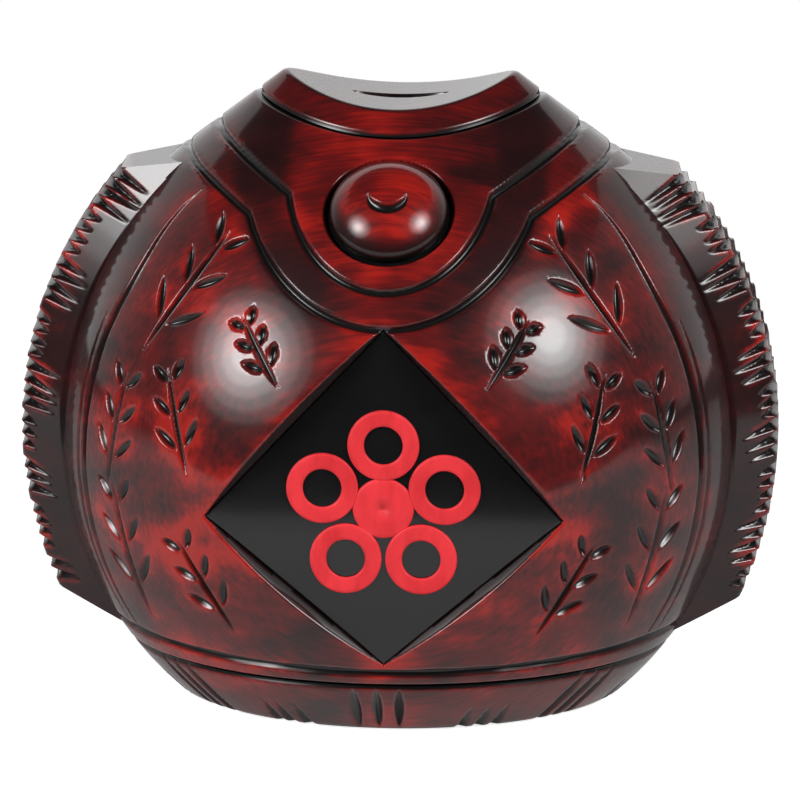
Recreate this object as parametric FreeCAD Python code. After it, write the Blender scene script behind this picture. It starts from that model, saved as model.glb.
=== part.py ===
import FreeCAD, Part
import math
import os

# Carved wooden money box in the shape of a tied pouch, in millimetres.
# Z is up, the front looks along -Y, and the origin is on the table under the middle of the box.
# The pieces are drawn round the pouch's own axis first and moved to that origin last.

# Pouch body
BODY_WIDTH = 218.0
BODY_DEPTH = 186.0
BELLY_HEIGHT = 82.0
SHOULDER_RISE = 90.0
SHOULDER_WIDTH = 146.0
SHOULDER_DEPTH = 96.6
SHELL_WALL = 24.0
CROWN_THICKNESS = 12.0
FOOT_HEIGHT = 17.6

# Neck and the saddle-topped cap on it
NECK_HEIGHT = 28.0
TIP_WIDTH = 73.0
RIM_DEPTH = 48.9
SADDLE_DROP = 8.7
CAP_RIM = 6.6
CAP_SEAT_RADIUS = 122.0
SLOT_LENGTH = 30.0
SLOT_WIDTH = 5.6
TENON_LENGTH = 50.0
TENON_WIDTH = 20.0
TENON_DEPTH = 20.0

# Notched fins down both sides
FIN_REACH = 12.0
FIN_RADIUS = 125.5
FIN_CENTRE_RISE = 2.5
FIN_ROOT_THICKNESS = 34.0
FIN_EDGE_THICKNESS = 22.0
FIN_TOP_DROP = 0.5
FIN_TOP_SLOPE = 9.0
FIN_FOOT_RISE = 6.0
FIN_FOOT_SLOPE = 25.0
TONGUE_THICKNESS = 12.0
TONGUE_DEPTH = 14.0
NOTCH_GROUPS = 12
NOTCHES_PER_GROUP = 3
NOTCH_PITCH = 4.6
NOTCH_LENGTH = 8.5
NOTCH_WIDTH = 3.4
NOTCH_DEPTH = 2.2

# Dowels that peg the fins and register the two halves
DOWEL_RADIUS = 3.5
DOWEL_LENGTH = 36.0
DOWEL_INSET = 8.5
DOWEL_SPREAD = 48.0

# Panel let into the front, its raised motif, and the button on the flap
PANEL_WIDTH = 111.0
PANEL_RISE = 59.6
PANEL_DROP = 46.8
PANEL_BELOW_BELLY = 9.0
PANEL_SINK = 14.0
PANEL_THICKNESS = 5.0
RECESS_DRAFT = 25.0
MOTIF_THICKNESS = 1.2
MOTIF_HEART_RADIUS = 9.6
PETAL_COUNT = 5
PETAL_ORBIT = 20.0
PETAL_RADIUS = 11.2
PETAL_STROKE = 5.2
BUTTON_RADIUS = 17.5
BUTTON_DOME = 8.5
BUTTON_GROOVE = 2.6
BUTTON_SINK = 3.5
BUTTON_BELOW_SHOULDER = 6.0
PEG_RADIUS = 5.0
PEG_LENGTH = 9.0

# Carved lines of the strap round the neck and of the flap that hangs from it
LINE_WIDTH = 2.2
LINE_DEPTH = 1.5
FLAP_HALF_WIDTH = 32.0
FLAP_CORNER_DROP = 3.0
FLAP_DROP = 28.4
STRAP_WIDTH = 12.6
STRAP_CORNER_DROP = 6.0
STRAP_TONGUE_WIDTH = 10.4
STRAP_SLOPE = 29.0

# Carved lines round the lower body, beside the fins and round the back of the neck
RING_RISE = 5.0
RING_BOW = 1316.0
SIDE_LINE_DEPTH = 41.0
SIDE_LINE_TOP = 28.0
REAR_FLAP_RISE = 8.5
REAR_FLAP_BOW = 580.0
REAR_STRAP_DROP = 2.0
REAR_STRAP_BOW = 392.0

# Sprigs of gouge cuts: angle from the middle of the half, height, stem length and lean of each
CUT_DEPTH = 1.7
STEM_WIDTH = 2.5
LEAF_WIDTH = 3.1
LEAF_PAIRS = 3
LEAF_FIRST = -0.30
LEAF_STEP = 0.32
LEAF_SHARE = 0.38
LEAF_FALL = 0.05
LEAF_ANGLE = 40.0
LEAF_CLEARANCE = 0.20
FRONT_SPRIGS = [(42, 139, 46, 24), (22.5, 125, 25, -36), (37.5, 101, 34, -19)]
FRONT_SPRIGS += [(53, 94.5, 37, 9), (51.5, 55.5, 44, -6), (33, 49, 34, -26)]
REAR_SPRIGS = [(42, 137, 43, 21), (50, 92, 44, -12), (24, 85, 46, 15), (42, 48, 40, -20)]
REAR_MIDDLE_SPRIGS = [(132, 46), (46, 44)]

# Foot, its closing board, and the stopper in the board
FOOT_SPIGOT = 8.0
FOOT_RIM = 12.0
BOARD_LEDGE = 6.0
BOARD_RECESS = 3.0
BOARD_THICKNESS = 6.0
STOPPER_HOLE_RADIUS = 18.0
STOPPER_FLANGE_RADIUS = 21.5
STOPPER_FLANGE_THICKNESS = 2.0
STOPPER_LENGTH = 12.0
GRIP_RADIUS = 13.0
GRIP_DEPTH = 5.0
GRIP_BAR = 5.0

# Clearances
GLUE_GAP = 0.1
STOPPER_GAP = 0.4

# Levels and half sizes that follow from the driving dimensions
shoulder_height = BELLY_HEIGHT + SHOULDER_RISE
tip_height = shoulder_height + NECK_HEIGHT
saddle_low = tip_height - SADDLE_DROP
seat_low = saddle_low - CAP_RIM
cavity_top = shoulder_height - CROWN_THICKNESS
fin_centre_x = BODY_WIDTH / 2 + FIN_REACH - FIN_RADIUS
fin_centre_z = BELLY_HEIGHT + FIN_CENTRE_RISE
panel_face = -(BODY_DEPTH / 2 - PANEL_SINK)
panel_side_height = BELLY_HEIGHT - PANEL_BELOW_BELLY
board_top = BOARD_RECESS + BOARD_THICKNESS
reach = BODY_WIDTH + tip_height
LEVELS_PER_HALF = 4
OVAL_POINTS = 16

Vector = FreeCAD.Vector
Y_AXIS = Vector(0, 1, 0)
Z_AXIS = Vector(0, 0, 1)


def arc_offset(half_belly, half_shoulder):
    """Distance from the box's axis to the centre of the arc from belly to shoulder."""
    run = half_belly - half_shoulder
    return (half_shoulder ** 2 + SHOULDER_RISE ** 2 - half_belly ** 2) / (2 * run)


def upper_half(z, half_belly, half_shoulder):
    """Half size above the belly, on the arc that ends at the shoulder."""
    offset = arc_offset(half_belly, half_shoulder)
    return math.sqrt((half_belly + offset) ** 2 - (z - BELLY_HEIGHT) ** 2) - offset


def half_width(z):
    """Half the pouch's width at height z."""
    if z > BELLY_HEIGHT:
        return upper_half(z, BODY_WIDTH / 2, SHOULDER_WIDTH / 2)
    return math.sqrt((BODY_WIDTH / 2) ** 2 - (BELLY_HEIGHT - z) ** 2)


def half_depth(z):
    """Half the pouch's depth at height z."""
    if z > BELLY_HEIGHT:
        return upper_half(z, BODY_DEPTH / 2, SHOULDER_DEPTH / 2)
    return half_width(z) * BODY_DEPTH / BODY_WIDTH


def neck_halves(z):
    """Half width and half depth of the straight-sided neck at height z."""
    up = z - shoulder_height
    width_fall = (SHOULDER_WIDTH - TIP_WIDTH) / 2 / NECK_HEIGHT
    depth_fall = (SHOULDER_DEPTH - RIM_DEPTH) / 2 / (saddle_low - shoulder_height)
    return SHOULDER_WIDTH / 2 - width_fall * up, SHOULDER_DEPTH / 2 - depth_fall * up


def oval(half_x, half_y, z):
    """Smooth closed oval wire at height z, always starting on +X."""
    turns = [2 * math.pi * i / OVAL_POINTS for i in range(OVAL_POINTS)]
    curve = Part.BSplineCurve()
    points = [Vector(half_x * math.cos(turn), half_y * math.sin(turn), z) for turn in turns]
    curve.interpolate(Points=points, PeriodicFlag=True)
    return Part.Wire(curve.toShape())


def oval_prism(half_x, half_y, bottom, top):
    """Upright solid with an oval outline."""
    return Part.Face(oval(half_x, half_y, bottom)).extrude(Vector(0, 0, top - bottom))


def pouch(inset, bottom=0.0, top=shoulder_height):
    """Pouch from bottom to top, drawn in by inset all round."""
    lower = [bottom + (BELLY_HEIGHT - bottom) * i / LEVELS_PER_HALF for i in range(LEVELS_PER_HALF)]
    upper = [BELLY_HEIGHT + (top - BELLY_HEIGHT) * i / LEVELS_PER_HALF for i in range(LEVELS_PER_HALF + 1)]
    wires = [oval(half_width(z) - inset, half_depth(z) - inset, z) for z in lower + upper]
    return Part.makeLoft(wires, True, False)


def neck(inset):
    """Neck from the shoulder to just past the tips, drawn in by inset."""
    top = tip_height + SADDLE_DROP / 2
    low_x, low_y = neck_halves(shoulder_height)
    top_x, top_y = neck_halves(top)
    low = oval(low_x - inset, low_y - inset, shoulder_height)
    high = oval(top_x - inset, top_y - inset, top)
    return Part.makeLoft([low, high], True, True)


def slab(low, high):
    """Box from one corner to the other."""
    size = high - low
    return Part.makeBox(size.x, size.y, size.z, low)


def cross_cylinder(radius, lowest):
    """Cylinder lying along Y whose lowest line is at the given height."""
    start = Vector(0, -reach, lowest + radius)
    return Part.makeCylinder(radius, 2 * reach, start, Y_AXIS)


def obround(length, width, bottom, top):
    """Upright slot-shaped prism, long along X."""
    half = (length - width) / 2
    ends = [Part.makeCylinder(width / 2, top - bottom, Vector(x, 0, bottom)) for x in (-half, half)]
    middle = slab(Vector(-half, -width / 2, bottom), Vector(half, width / 2, top))
    return middle.multiFuse(ends).removeSplitter()


def plate(points, front, back):
    """Flat plate outlined by points in X and Z, between two planes across Y."""
    corners = [Vector(x, front, z) for x, z in points]
    outline = Part.makePolygon(corners + corners[:1])
    return Part.Face(outline).extrude(Vector(0, back - front, 0))


def fin_top(x):
    """Height of the fin's sloping top facet."""
    fall = math.tan(math.radians(FIN_TOP_SLOPE))
    return shoulder_height - FIN_TOP_DROP - (x - SHOULDER_WIDTH / 2) * fall


def fin_foot(x):
    """Height of the fin's sloping bottom facet."""
    lift = math.tan(math.radians(FIN_FOOT_SLOPE))
    return FOOT_HEIGHT + FIN_FOOT_RISE + (x - half_width(FOOT_HEIGHT + FIN_FOOT_RISE)) * lift


def fin_half_thickness(radius):
    """Half thickness of the fin at a radius from the fin's own centre."""
    along = (radius - FIN_RADIUS + FIN_REACH) / FIN_REACH
    return (FIN_ROOT_THICKNESS + (FIN_EDGE_THICKNESS - FIN_ROOT_THICKNESS) * along) / 2


def fin_sector():
    """Right fin as a tapered ring sector that still runs into the body."""
    root = FIN_RADIUS - FIN_REACH
    inner = root - 2 * TONGUE_DEPTH
    half_root = FIN_ROOT_THICKNESS / 2
    side = [(inner, half_root), (root, half_root), (FIN_RADIUS, FIN_EDGE_THICKNESS / 2)]
    outline = side + [(r, -y) for r, y in reversed(side)]
    corners = [Vector(fin_centre_x - r, y, fin_centre_z) for r, y in outline]
    section = Part.Face(Part.makePolygon(corners + corners[:1]))
    ring = section.revolve(Vector(fin_centre_x, 0, fin_centre_z), Y_AXIS, 360)
    near = SHOULDER_WIDTH / 4
    far = BODY_WIDTH
    foot = half_width(FOOT_HEIGHT + FIN_FOOT_RISE) - FIN_FOOT_RISE / math.tan(math.radians(FIN_FOOT_SLOPE))
    lower = [(near, FOOT_HEIGHT), (foot, FOOT_HEIGHT), (far, fin_foot(far))]
    upper = [(far, fin_top(far)), (near, fin_top(near))]
    return ring.common(plate(lower + upper, -reach, reach))


def fin_blank(tongue_depth):
    """Right fin that still fills the shells down to the given depth."""
    return fin_sector().cut(pouch(tongue_depth)).cut(neck(-GLUE_GAP))


def wedge(corners):
    """Solid with four flat sides between four corners."""
    sides = [[corners[i] for i in range(4) if i != skip] for skip in range(4)]
    faces = [Part.Face(Part.makePolygon(side + side[:1])) for side in sides]
    solid = Part.Solid(Part.Shell(faces))
    if solid.Volume < 0:
        solid.reverse()
    return solid


def notch(angle, side):
    """V cut that starts on one face of the fin and deepens out past its edge."""
    out = Vector(math.cos(angle), 0, math.sin(angle))
    round_edge = Vector(-math.sin(angle), 0, math.cos(angle))
    centre = Vector(fin_centre_x, 0, fin_centre_z)
    start_radius = FIN_RADIUS - NOTCH_LENGTH
    start = centre + out * start_radius + Y_AXIS * (side * fin_half_thickness(start_radius))
    end_radius = FIN_RADIUS + NOTCH_DEPTH
    stretch = (end_radius - start_radius) / NOTCH_LENGTH
    end = centre + out * end_radius + Y_AXIS * (side * fin_half_thickness(end_radius))
    valley = end - Y_AXIS * (side * NOTCH_DEPTH * stretch)
    ridge = end + Y_AXIS * (side * NOTCH_DEPTH * stretch)
    lips = [ridge + round_edge * (way * NOTCH_WIDTH * stretch) for way in (-1, 1)]
    return wedge([start, valley] + lips)


def fin_notches():
    """All gouge cuts of the right fin, in groups, on both faces."""
    low = math.asin((fin_foot(BODY_WIDTH / 2) - fin_centre_z) / FIN_RADIUS)
    high = math.asin((fin_top(SHOULDER_WIDTH / 2) - fin_centre_z) / FIN_RADIUS)
    pitch = NOTCH_PITCH / FIN_RADIUS
    cuts = []
    for group in range(NOTCH_GROUPS):
        middle = low + (high - low) * (group + 0.5) / NOTCH_GROUPS
        for i in range(NOTCHES_PER_GROUP):
            angle = middle + (i - (NOTCHES_PER_GROUP - 1) / 2) * pitch
            cuts += [notch(angle, side) for side in (-1, 1)]
    return Part.makeCompound(cuts)


def make_right_fin():
    """Right fin with the tongue that is glued into the seam of the shells."""
    half = TONGUE_THICKNESS / 2
    tongue_zone = slab(Vector(-reach, -half, -reach), Vector(reach, half, reach))
    cheeks = pouch(-GLUE_GAP).cut(tongue_zone)
    fin = fin_blank(TONGUE_DEPTH).cut(cheeks)
    return fin.cut(dowels(DOWEL_RADIUS + GLUE_GAP)).cut(fin_notches())


def tongue_groove():
    """Groove in the right side of the shells for the fin's tongue."""
    half = TONGUE_THICKNESS / 2 + GLUE_GAP
    zone = slab(Vector(-reach, -half, -reach), Vector(reach, half, reach))
    return fin_blank(TONGUE_DEPTH + GLUE_GAP).common(zone)


def mirrored(shape):
    """The same shape on the other side of the middle plane."""
    return shape.mirror(Vector(0, 0, 0), Vector(1, 0, 0))


def dowels(radius):
    """Six dowels across the seam, three through each fin's tongue."""
    rods = []
    for level in (-1, 0, 1):
        z = BELLY_HEIGHT + level * DOWEL_SPREAD
        for side in (-1, 1):
            start = Vector(side * (half_width(z) - DOWEL_INSET), -DOWEL_LENGTH / 2, z)
            rods.append(Part.makeCylinder(radius, DOWEL_LENGTH, start, Y_AXIS))
    return Part.makeCompound(rods)


def kite_incircle():
    """Radius of the circle inside the panel's outline, and its centre's height over the side corners."""
    half = PANEL_WIDTH / 2
    upper = math.hypot(half, PANEL_RISE)
    lower = math.hypot(half, PANEL_DROP)
    radius = half * (PANEL_RISE + PANEL_DROP) / (upper + lower)
    return radius, PANEL_RISE - radius * upper / half


def kite(offset):
    """Corners of the panel's outline, moved outwards by offset."""
    half = PANEL_WIDTH / 2
    radius, middle = kite_incircle()
    grow = (radius + offset) / radius
    corners = [(0, PANEL_RISE), (-half, 0), (0, -PANEL_DROP), (half, 0)]
    return [(x * grow, panel_side_height + middle + (z - middle) * grow) for x, z in corners]


def kite_wire(offset, y):
    """Closed outline of the panel at a plane across Y."""
    corners = [Vector(x, y, z) for x, z in kite(offset)]
    return Part.makePolygon(corners + corners[:1])


def panel_recess():
    """Sloping-walled opening over the panel and the straight pocket that holds it."""
    front = panel_face - PANEL_SINK - SHELL_WALL
    spread = (panel_face - front) * math.tan(math.radians(RECESS_DRAFT))
    funnel = Part.makeLoft([kite_wire(GLUE_GAP, panel_face), kite_wire(GLUE_GAP + spread, front)], True, True)
    pocket = plate(kite(GLUE_GAP), panel_face, panel_face + PANEL_THICKNESS)
    return funnel.fuse(pocket)


def motif_disc(orbit, angle, radius):
    """Flat disc on the panel's face, at a distance and angle from the motif's centre."""
    middle = panel_side_height + kite_incircle()[1]
    place = Vector(orbit * math.sin(angle), panel_face, middle + orbit * math.cos(angle))
    return Part.makeCylinder(radius, MOTIF_THICKNESS, place, -Y_AXIS)


def make_motif():
    """Blossom of ring petals round a heart, in low relief on the panel."""
    angles = [2 * math.pi * i / PETAL_COUNT for i in range(PETAL_COUNT)]
    petals = [motif_disc(PETAL_ORBIT, angle, PETAL_RADIUS) for angle in angles]
    holes = [motif_disc(PETAL_ORBIT, angle, PETAL_RADIUS - PETAL_STROKE) for angle in angles]
    heart = motif_disc(0, 0, MOTIF_HEART_RADIUS)
    return heart.multiFuse(petals).cut(Part.makeCompound(holes)).removeSplitter()


def make_panel():
    """Flat panel that fills the pocket."""
    return plate(kite(0), panel_face, panel_face + PANEL_THICKNESS)


def place_on_flap(shape):
    """Move a shape built along Z so that Z points out of the flap at the button."""
    z = shoulder_height - BUTTON_BELOW_SHOULDER
    offset = arc_offset(BODY_DEPTH / 2, SHOULDER_DEPTH / 2)
    tilt = math.degrees(math.atan2(half_depth(z) + offset, z - BELLY_HEIGHT))
    placed = shape.copy()
    placed.rotate(Vector(0, 0, 0), Vector(1, 0, 0), tilt)
    placed.translate(Vector(0, -half_depth(z), z))
    return placed


def make_button():
    """Domed button with its peg."""
    sphere_radius = (BUTTON_RADIUS ** 2 + BUTTON_DOME ** 2) / (2 * BUTTON_DOME)
    ball = Part.makeSphere(sphere_radius, Vector(0, 0, BUTTON_DOME - sphere_radius))
    drum = Part.makeCylinder(BUTTON_RADIUS, BUTTON_SINK + BUTTON_DOME, Vector(0, 0, -BUTTON_SINK))
    peg = Part.makeCylinder(PEG_RADIUS, PEG_LENGTH + BUTTON_SINK, Vector(0, 0, -BUTTON_SINK - PEG_LENGTH))
    dome = drum.common(ball)
    waist = Part.makeCylinder(BUTTON_RADIUS, BUTTON_SINK, Vector(0, 0, -BUTTON_SINK))
    return place_on_flap(waist.multiFuse([dome, peg]).removeSplitter())


def button_socket():
    """Ring groove and peg hole for the button."""
    height = BUTTON_SINK + BUTTON_DOME
    seat = Part.makeCylinder(BUTTON_RADIUS + BUTTON_GROOVE, height, Vector(0, 0, -BUTTON_SINK))
    depth = PEG_LENGTH + GLUE_GAP
    hole = Part.makeCylinder(PEG_RADIUS + GLUE_GAP, depth, Vector(0, 0, -BUTTON_SINK - depth))
    return place_on_flap(seat.fuse(hole))


def flap_outline(strap):
    """Path of one carved line: down the neck, round the flap and up; strap is 0 inside and 1 outside."""
    corner_x = FLAP_HALF_WIDTH + strap * STRAP_WIDTH
    corner_z = shoulder_height - FLAP_CORNER_DROP - strap * STRAP_CORNER_DROP
    end_x = corner_x + SHOULDER_WIDTH / 4
    end_z = corner_z + (end_x - corner_x) * math.tan(math.radians(STRAP_SLOPE))
    low = Vector(0, 0, shoulder_height - FLAP_DROP - strap * STRAP_TONGUE_WIDTH)
    corners = [Vector(side * corner_x, 0, corner_z) for side in (-1, 1)]
    ends = [Vector(side * end_x, 0, end_z) for side in (-1, 1)]
    left = Part.LineSegment(ends[0], corners[0])
    tongue = Part.Arc(corners[0], low, corners[1])
    right = Part.LineSegment(corners[1], ends[1])
    return Part.Wire([left.toShape(), tongue.toShape(), right.toShape()])


def carved_skin():
    """Thin layer of the pouch and neck, as deep as a carved line."""
    return pouch(0).fuse(neck(0)).cut(pouch(LINE_DEPTH)).cut(neck(LINE_DEPTH))


def flap_lines(skin):
    """Grooves on both sides of the strap and round the flap."""
    grooves = []
    for strap in (0, 1):
        path = flap_outline(strap)
        start = path.Vertexes[0].Point
        along = path.Edges[0].tangentAt(path.Edges[0].FirstParameter)
        across = along.cross(Y_AXIS)
        across.normalize()
        corners = []
        for side, y in ((-1, -reach), (1, -reach), (1, 0), (-1, 0)):
            corners.append(start + across * (side * LINE_WIDTH / 2) + Y_AXIS * y)
        section = Part.makePolygon(corners + corners[:1])
        band = path.makePipeShell([section], True, False, 1)
        grooves.append(band.common(skin))
    return grooves


def curved_band(bow, lowest):
    """Thin sheet along Y that bows up towards both sides, as high as a line is wide."""
    outer = cross_cylinder(bow, lowest - LINE_WIDTH / 2)
    return outer.cut(cross_cylinder(bow - LINE_WIDTH, lowest + LINE_WIDTH / 2))


def shared_lines(skin):
    """Line round the lower body and upright lines beside both fins, on both halves."""
    ring_height = FOOT_HEIGHT + RING_RISE
    low = Vector(-reach, -LINE_WIDTH / 2, ring_height + LINE_WIDTH)
    high = Vector(reach, LINE_WIDTH / 2, shoulder_height - SIDE_LINE_TOP)
    sheets = [slab(low + Y_AXIS * y, high + Y_AXIS * y) for y in (-SIDE_LINE_DEPTH, SIDE_LINE_DEPTH)]
    sheets.append(curved_band(RING_BOW, ring_height))
    return [sheet.common(skin) for sheet in sheets]


def rear_strap_lines(skin):
    """The strap's two lines round the back of the neck."""
    rear_skin = skin.common(slab(Vector(-reach, 0, 0), Vector(reach, reach, reach)))
    upper = curved_band(REAR_FLAP_BOW, shoulder_height + REAR_FLAP_RISE)
    lower = curved_band(REAR_STRAP_BOW, shoulder_height - REAR_STRAP_DROP)
    return [band.common(rear_skin) for band in (upper, lower)]


def body_point(turn, z):
    """Point on the pouch at an angle round it from the front."""
    return Vector(half_width(z) * math.sin(turn), -half_depth(z) * math.cos(turn), z)


def body_axes(turn, z):
    """Steps on the pouch for one radian round and for one millimetre of height."""
    across = Vector(half_width(z) * math.cos(turn), half_depth(z) * math.sin(turn), 0)
    return across, body_point(turn, z + 1) - body_point(turn, z)


def raised_point(turn, z, right, up, lift):
    """Point at a lift over the pouch, to the right of and above a place on it."""
    across, rise = body_axes(turn, z)
    there = (turn + right / across.Length, z + up / rise.Length)
    out = Vector.cross(*body_axes(*there))
    out.normalize()
    return body_point(*there) + out * lift


def spindle(ends, waist):
    """Solid with two tips and a waist of three corners."""
    faces = []
    for tip in ends:
        for i in range(3):
            faces.append(Part.Face(Part.makePolygon([tip, waist[i], waist[(i + 1) % 3], tip])))
    solid = Part.Solid(Part.Shell(faces))
    if solid.Volume < 0:
        solid.reverse()
    return solid


def gouge_cut(turn, z, start, end, width):
    """V cut, deepest halfway, between two flat places laid out round a place on the pouch."""
    right = (start[0] + end[0]) / 2
    up = (start[1] + end[1]) / 2
    length = math.dist(start, end)
    beside_x = (start[1] - end[1]) / length * width
    beside_z = (end[0] - start[0]) / length * width
    tips = [raised_point(turn, z, *tip, GLUE_GAP) for tip in (start, end)]
    waist = [raised_point(turn, z, right + way * beside_x, up + way * beside_z, CUT_DEPTH) for way in (-1, 1)]
    waist.append(raised_point(turn, z, right, up, -CUT_DEPTH))
    return spindle(tips, waist)


def stem_cut(turn, z, length, lean):
    """Stem of one carved sprig."""
    spin = math.radians(lean)
    half = (-math.sin(spin) * length / 2, math.cos(spin) * length / 2)
    return gouge_cut(turn, z, (-half[0], -half[1]), half, STEM_WIDTH)


def leaf_cuts(turn, z, length, lean):
    """Leaf pairs of one carved sprig, clear of its stem."""
    spin = math.radians(lean)
    along = (-math.sin(spin), math.cos(spin))
    cuts = []
    for pair in range(LEAF_PAIRS):
        root = length * (LEAF_FIRST + LEAF_STEP * pair)
        leaf = length * (LEAF_SHARE - LEAF_FALL * pair)
        for side in (-1, 1):
            angle = spin - side * math.radians(LEAF_ANGLE)
            way = (-math.sin(angle), math.cos(angle))
            reaches = (leaf * LEAF_CLEARANCE, leaf)
            line = [tuple(root * a + far * w for a, w in zip(along, way)) for far in reaches]
            cuts.append(gouge_cut(turn, z, *line, LEAF_WIDTH))
    return cuts


def both_sides(middle, sprigs):
    """Sprigs laid out on both sides of the middle of a half."""
    places = []
    for angle, z, length, lean in sprigs:
        for side in (-1, 1):
            places.append((middle + side * math.radians(angle), z, length, side * lean))
    return places


def cut_sprigs(shell, places):
    """Shell with the stems cut first and the leaves after them."""
    stems = [stem_cut(*place) for place in places]
    leaves = [leaf for place in places for leaf in leaf_cuts(*place)]
    return shell.cut(Part.makeCompound(stems)).cut(Part.makeCompound(leaves))


def make_shells(body):
    """Hollow front and rear halves, glued together on the middle plane."""
    seat = cross_cylinder(CAP_SEAT_RADIUS, seat_low)
    above_foot = slab(Vector(-reach, -reach, FOOT_HEIGHT), Vector(reach, reach, reach))
    groove = tongue_groove()
    mortise = obround(TENON_LENGTH + 2 * GLUE_GAP, TENON_WIDTH + 2 * GLUE_GAP, cavity_top, tip_height)
    hollow = pouch(SHELL_WALL, FOOT_HEIGHT, cavity_top)
    cuts = [seat, hollow, mortise, groove, mirrored(groove), dowels(DOWEL_RADIUS + GLUE_GAP)]
    shell = body.common(above_foot)
    for cut in cuts:
        shell = shell.cut(cut)
    front = shell.common(slab(Vector(-reach, -reach, 0), Vector(reach, 0, reach)))
    rear = shell.common(slab(Vector(-reach, 0, 0), Vector(reach, reach, reach)))
    front = front.cut(panel_recess()).cut(button_socket())
    skin = carved_skin()
    shared = shared_lines(skin)
    for line in shared + flap_lines(skin):
        front = front.cut(line)
    for line in shared + rear_strap_lines(skin):
        rear = rear.cut(line)
    upright = [(math.pi, z, length, 0) for z, length in REAR_MIDDLE_SPRIGS]
    front = cut_sprigs(front, both_sides(0, FRONT_SPRIGS))
    rear = cut_sprigs(rear, both_sides(math.pi, REAR_SPRIGS) + upright)
    return front, rear


def make_cap():
    """Saddle-topped cap with the coin slot and the tenon under it."""
    rim = neck(0).common(cross_cylinder(CAP_SEAT_RADIUS, seat_low))
    tenon = obround(TENON_LENGTH, TENON_WIDTH, seat_low - TENON_DEPTH, saddle_low)
    rim = rim.fuse(tenon).cut(cross_cylinder(saddle_radius(), saddle_low))
    return rim.cut(obround(SLOT_LENGTH, SLOT_WIDTH, 0, reach)).removeSplitter()


def saddle_radius():
    """Radius of the saddle that passes through its low line and both tips."""
    return ((TIP_WIDTH / 2) ** 2 + SADDLE_DROP ** 2) / (2 * SADDLE_DROP)


def foot_halves():
    """Half sizes of the hollow where it meets the foot."""
    return half_width(FOOT_HEIGHT) - SHELL_WALL, half_depth(FOOT_HEIGHT) - SHELL_WALL


def make_foot(body):
    """Foot ring with a spigot up into both shells and a rebate below for the board."""
    hollow_x, hollow_y = foot_halves()
    ring = body.common(slab(Vector(-reach, -reach, 0), Vector(reach, reach, FOOT_HEIGHT)))
    spigot_top = FOOT_HEIGHT + FOOT_SPIGOT
    spigot = oval_prism(hollow_x - GLUE_GAP, hollow_y - GLUE_GAP, FOOT_HEIGHT, spigot_top)
    opening = oval_prism(hollow_x - FOOT_RIM, hollow_y - FOOT_RIM, 0, spigot_top)
    rebate_x = hollow_x - FOOT_RIM + BOARD_LEDGE
    rebate_y = hollow_y - FOOT_RIM + BOARD_LEDGE
    rebate = oval_prism(rebate_x, rebate_y, 0, board_top)
    return ring.fuse(spigot).cut(opening).cut(rebate).removeSplitter()


def make_board():
    """Oval board that closes the foot, with the emptying hole."""
    hollow_x, hollow_y = foot_halves()
    board_x = hollow_x - FOOT_RIM + BOARD_LEDGE - GLUE_GAP
    board_y = hollow_y - FOOT_RIM + BOARD_LEDGE - GLUE_GAP
    board = oval_prism(board_x, board_y, BOARD_RECESS, board_top)
    return board.cut(Part.makeCylinder(STOPPER_HOLE_RADIUS, board_top, Vector(0, 0, 0)))


def make_stopper():
    """Soft stopper with a flange under the board and a sunk grip bar."""
    low = BOARD_RECESS - STOPPER_FLANGE_THICKNESS
    flange = Part.makeCylinder(STOPPER_FLANGE_RADIUS, STOPPER_FLANGE_THICKNESS, Vector(0, 0, low))
    plug = Part.makeCylinder(STOPPER_HOLE_RADIUS - STOPPER_GAP, STOPPER_LENGTH, Vector(0, 0, BOARD_RECESS))
    well = Part.makeCylinder(GRIP_RADIUS, GRIP_DEPTH, Vector(0, 0, low))
    bar = slab(Vector(-GRIP_RADIUS, -GRIP_BAR / 2, low), Vector(GRIP_RADIUS, GRIP_BAR / 2, low + GRIP_DEPTH))
    return flange.fuse(plug).cut(well.cut(bar)).removeSplitter()


def make_parts():
    """Every piece of the box by its node name."""
    body = pouch(0).fuse(neck(0))
    front, rear = make_shells(body)
    fin = make_right_fin()
    return {
        "front_shell": front,
        "rear_shell": rear,
        "seam_dowels": dowels(DOWEL_RADIUS),
        "right_fin": fin,
        "left_fin": mirrored(fin),
        "neck_cap": make_cap(),
        "diamond_panel": make_panel(),
        "panel_motif": make_motif(),
        "flap_button": make_button(),
        "foot_ring": make_foot(body),
        "base_board": make_board(),
        "stopper": make_stopper(),
    }


def centred(parts):
    """The pieces moved along Y so that the origin lies midway between front and back."""
    front = parts["front_shell"].optimalBoundingBox().YMin
    rear = parts["rear_shell"].optimalBoundingBox().YMax
    move = Vector(0, -(front + rear) / 2, 0)
    return {name: shape.translated(move) for name, shape in parts.items()}


os.makedirs("parts", exist_ok=True)
for name, shape in centred(make_parts()).items():
    shape.exportStep(os.path.join("parts", name + ".step"))
    print(name, len(shape.Solids), "solid(s),", round(shape.Volume), "mm3, valid:", shape.isValid())
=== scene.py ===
"""Looks of a carved and lacquered wooden money box in the shape of a tied pouch."""

import logging
import math
from collections.abc import Callable
from dataclasses import dataclass, field
from enum import Enum

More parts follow.
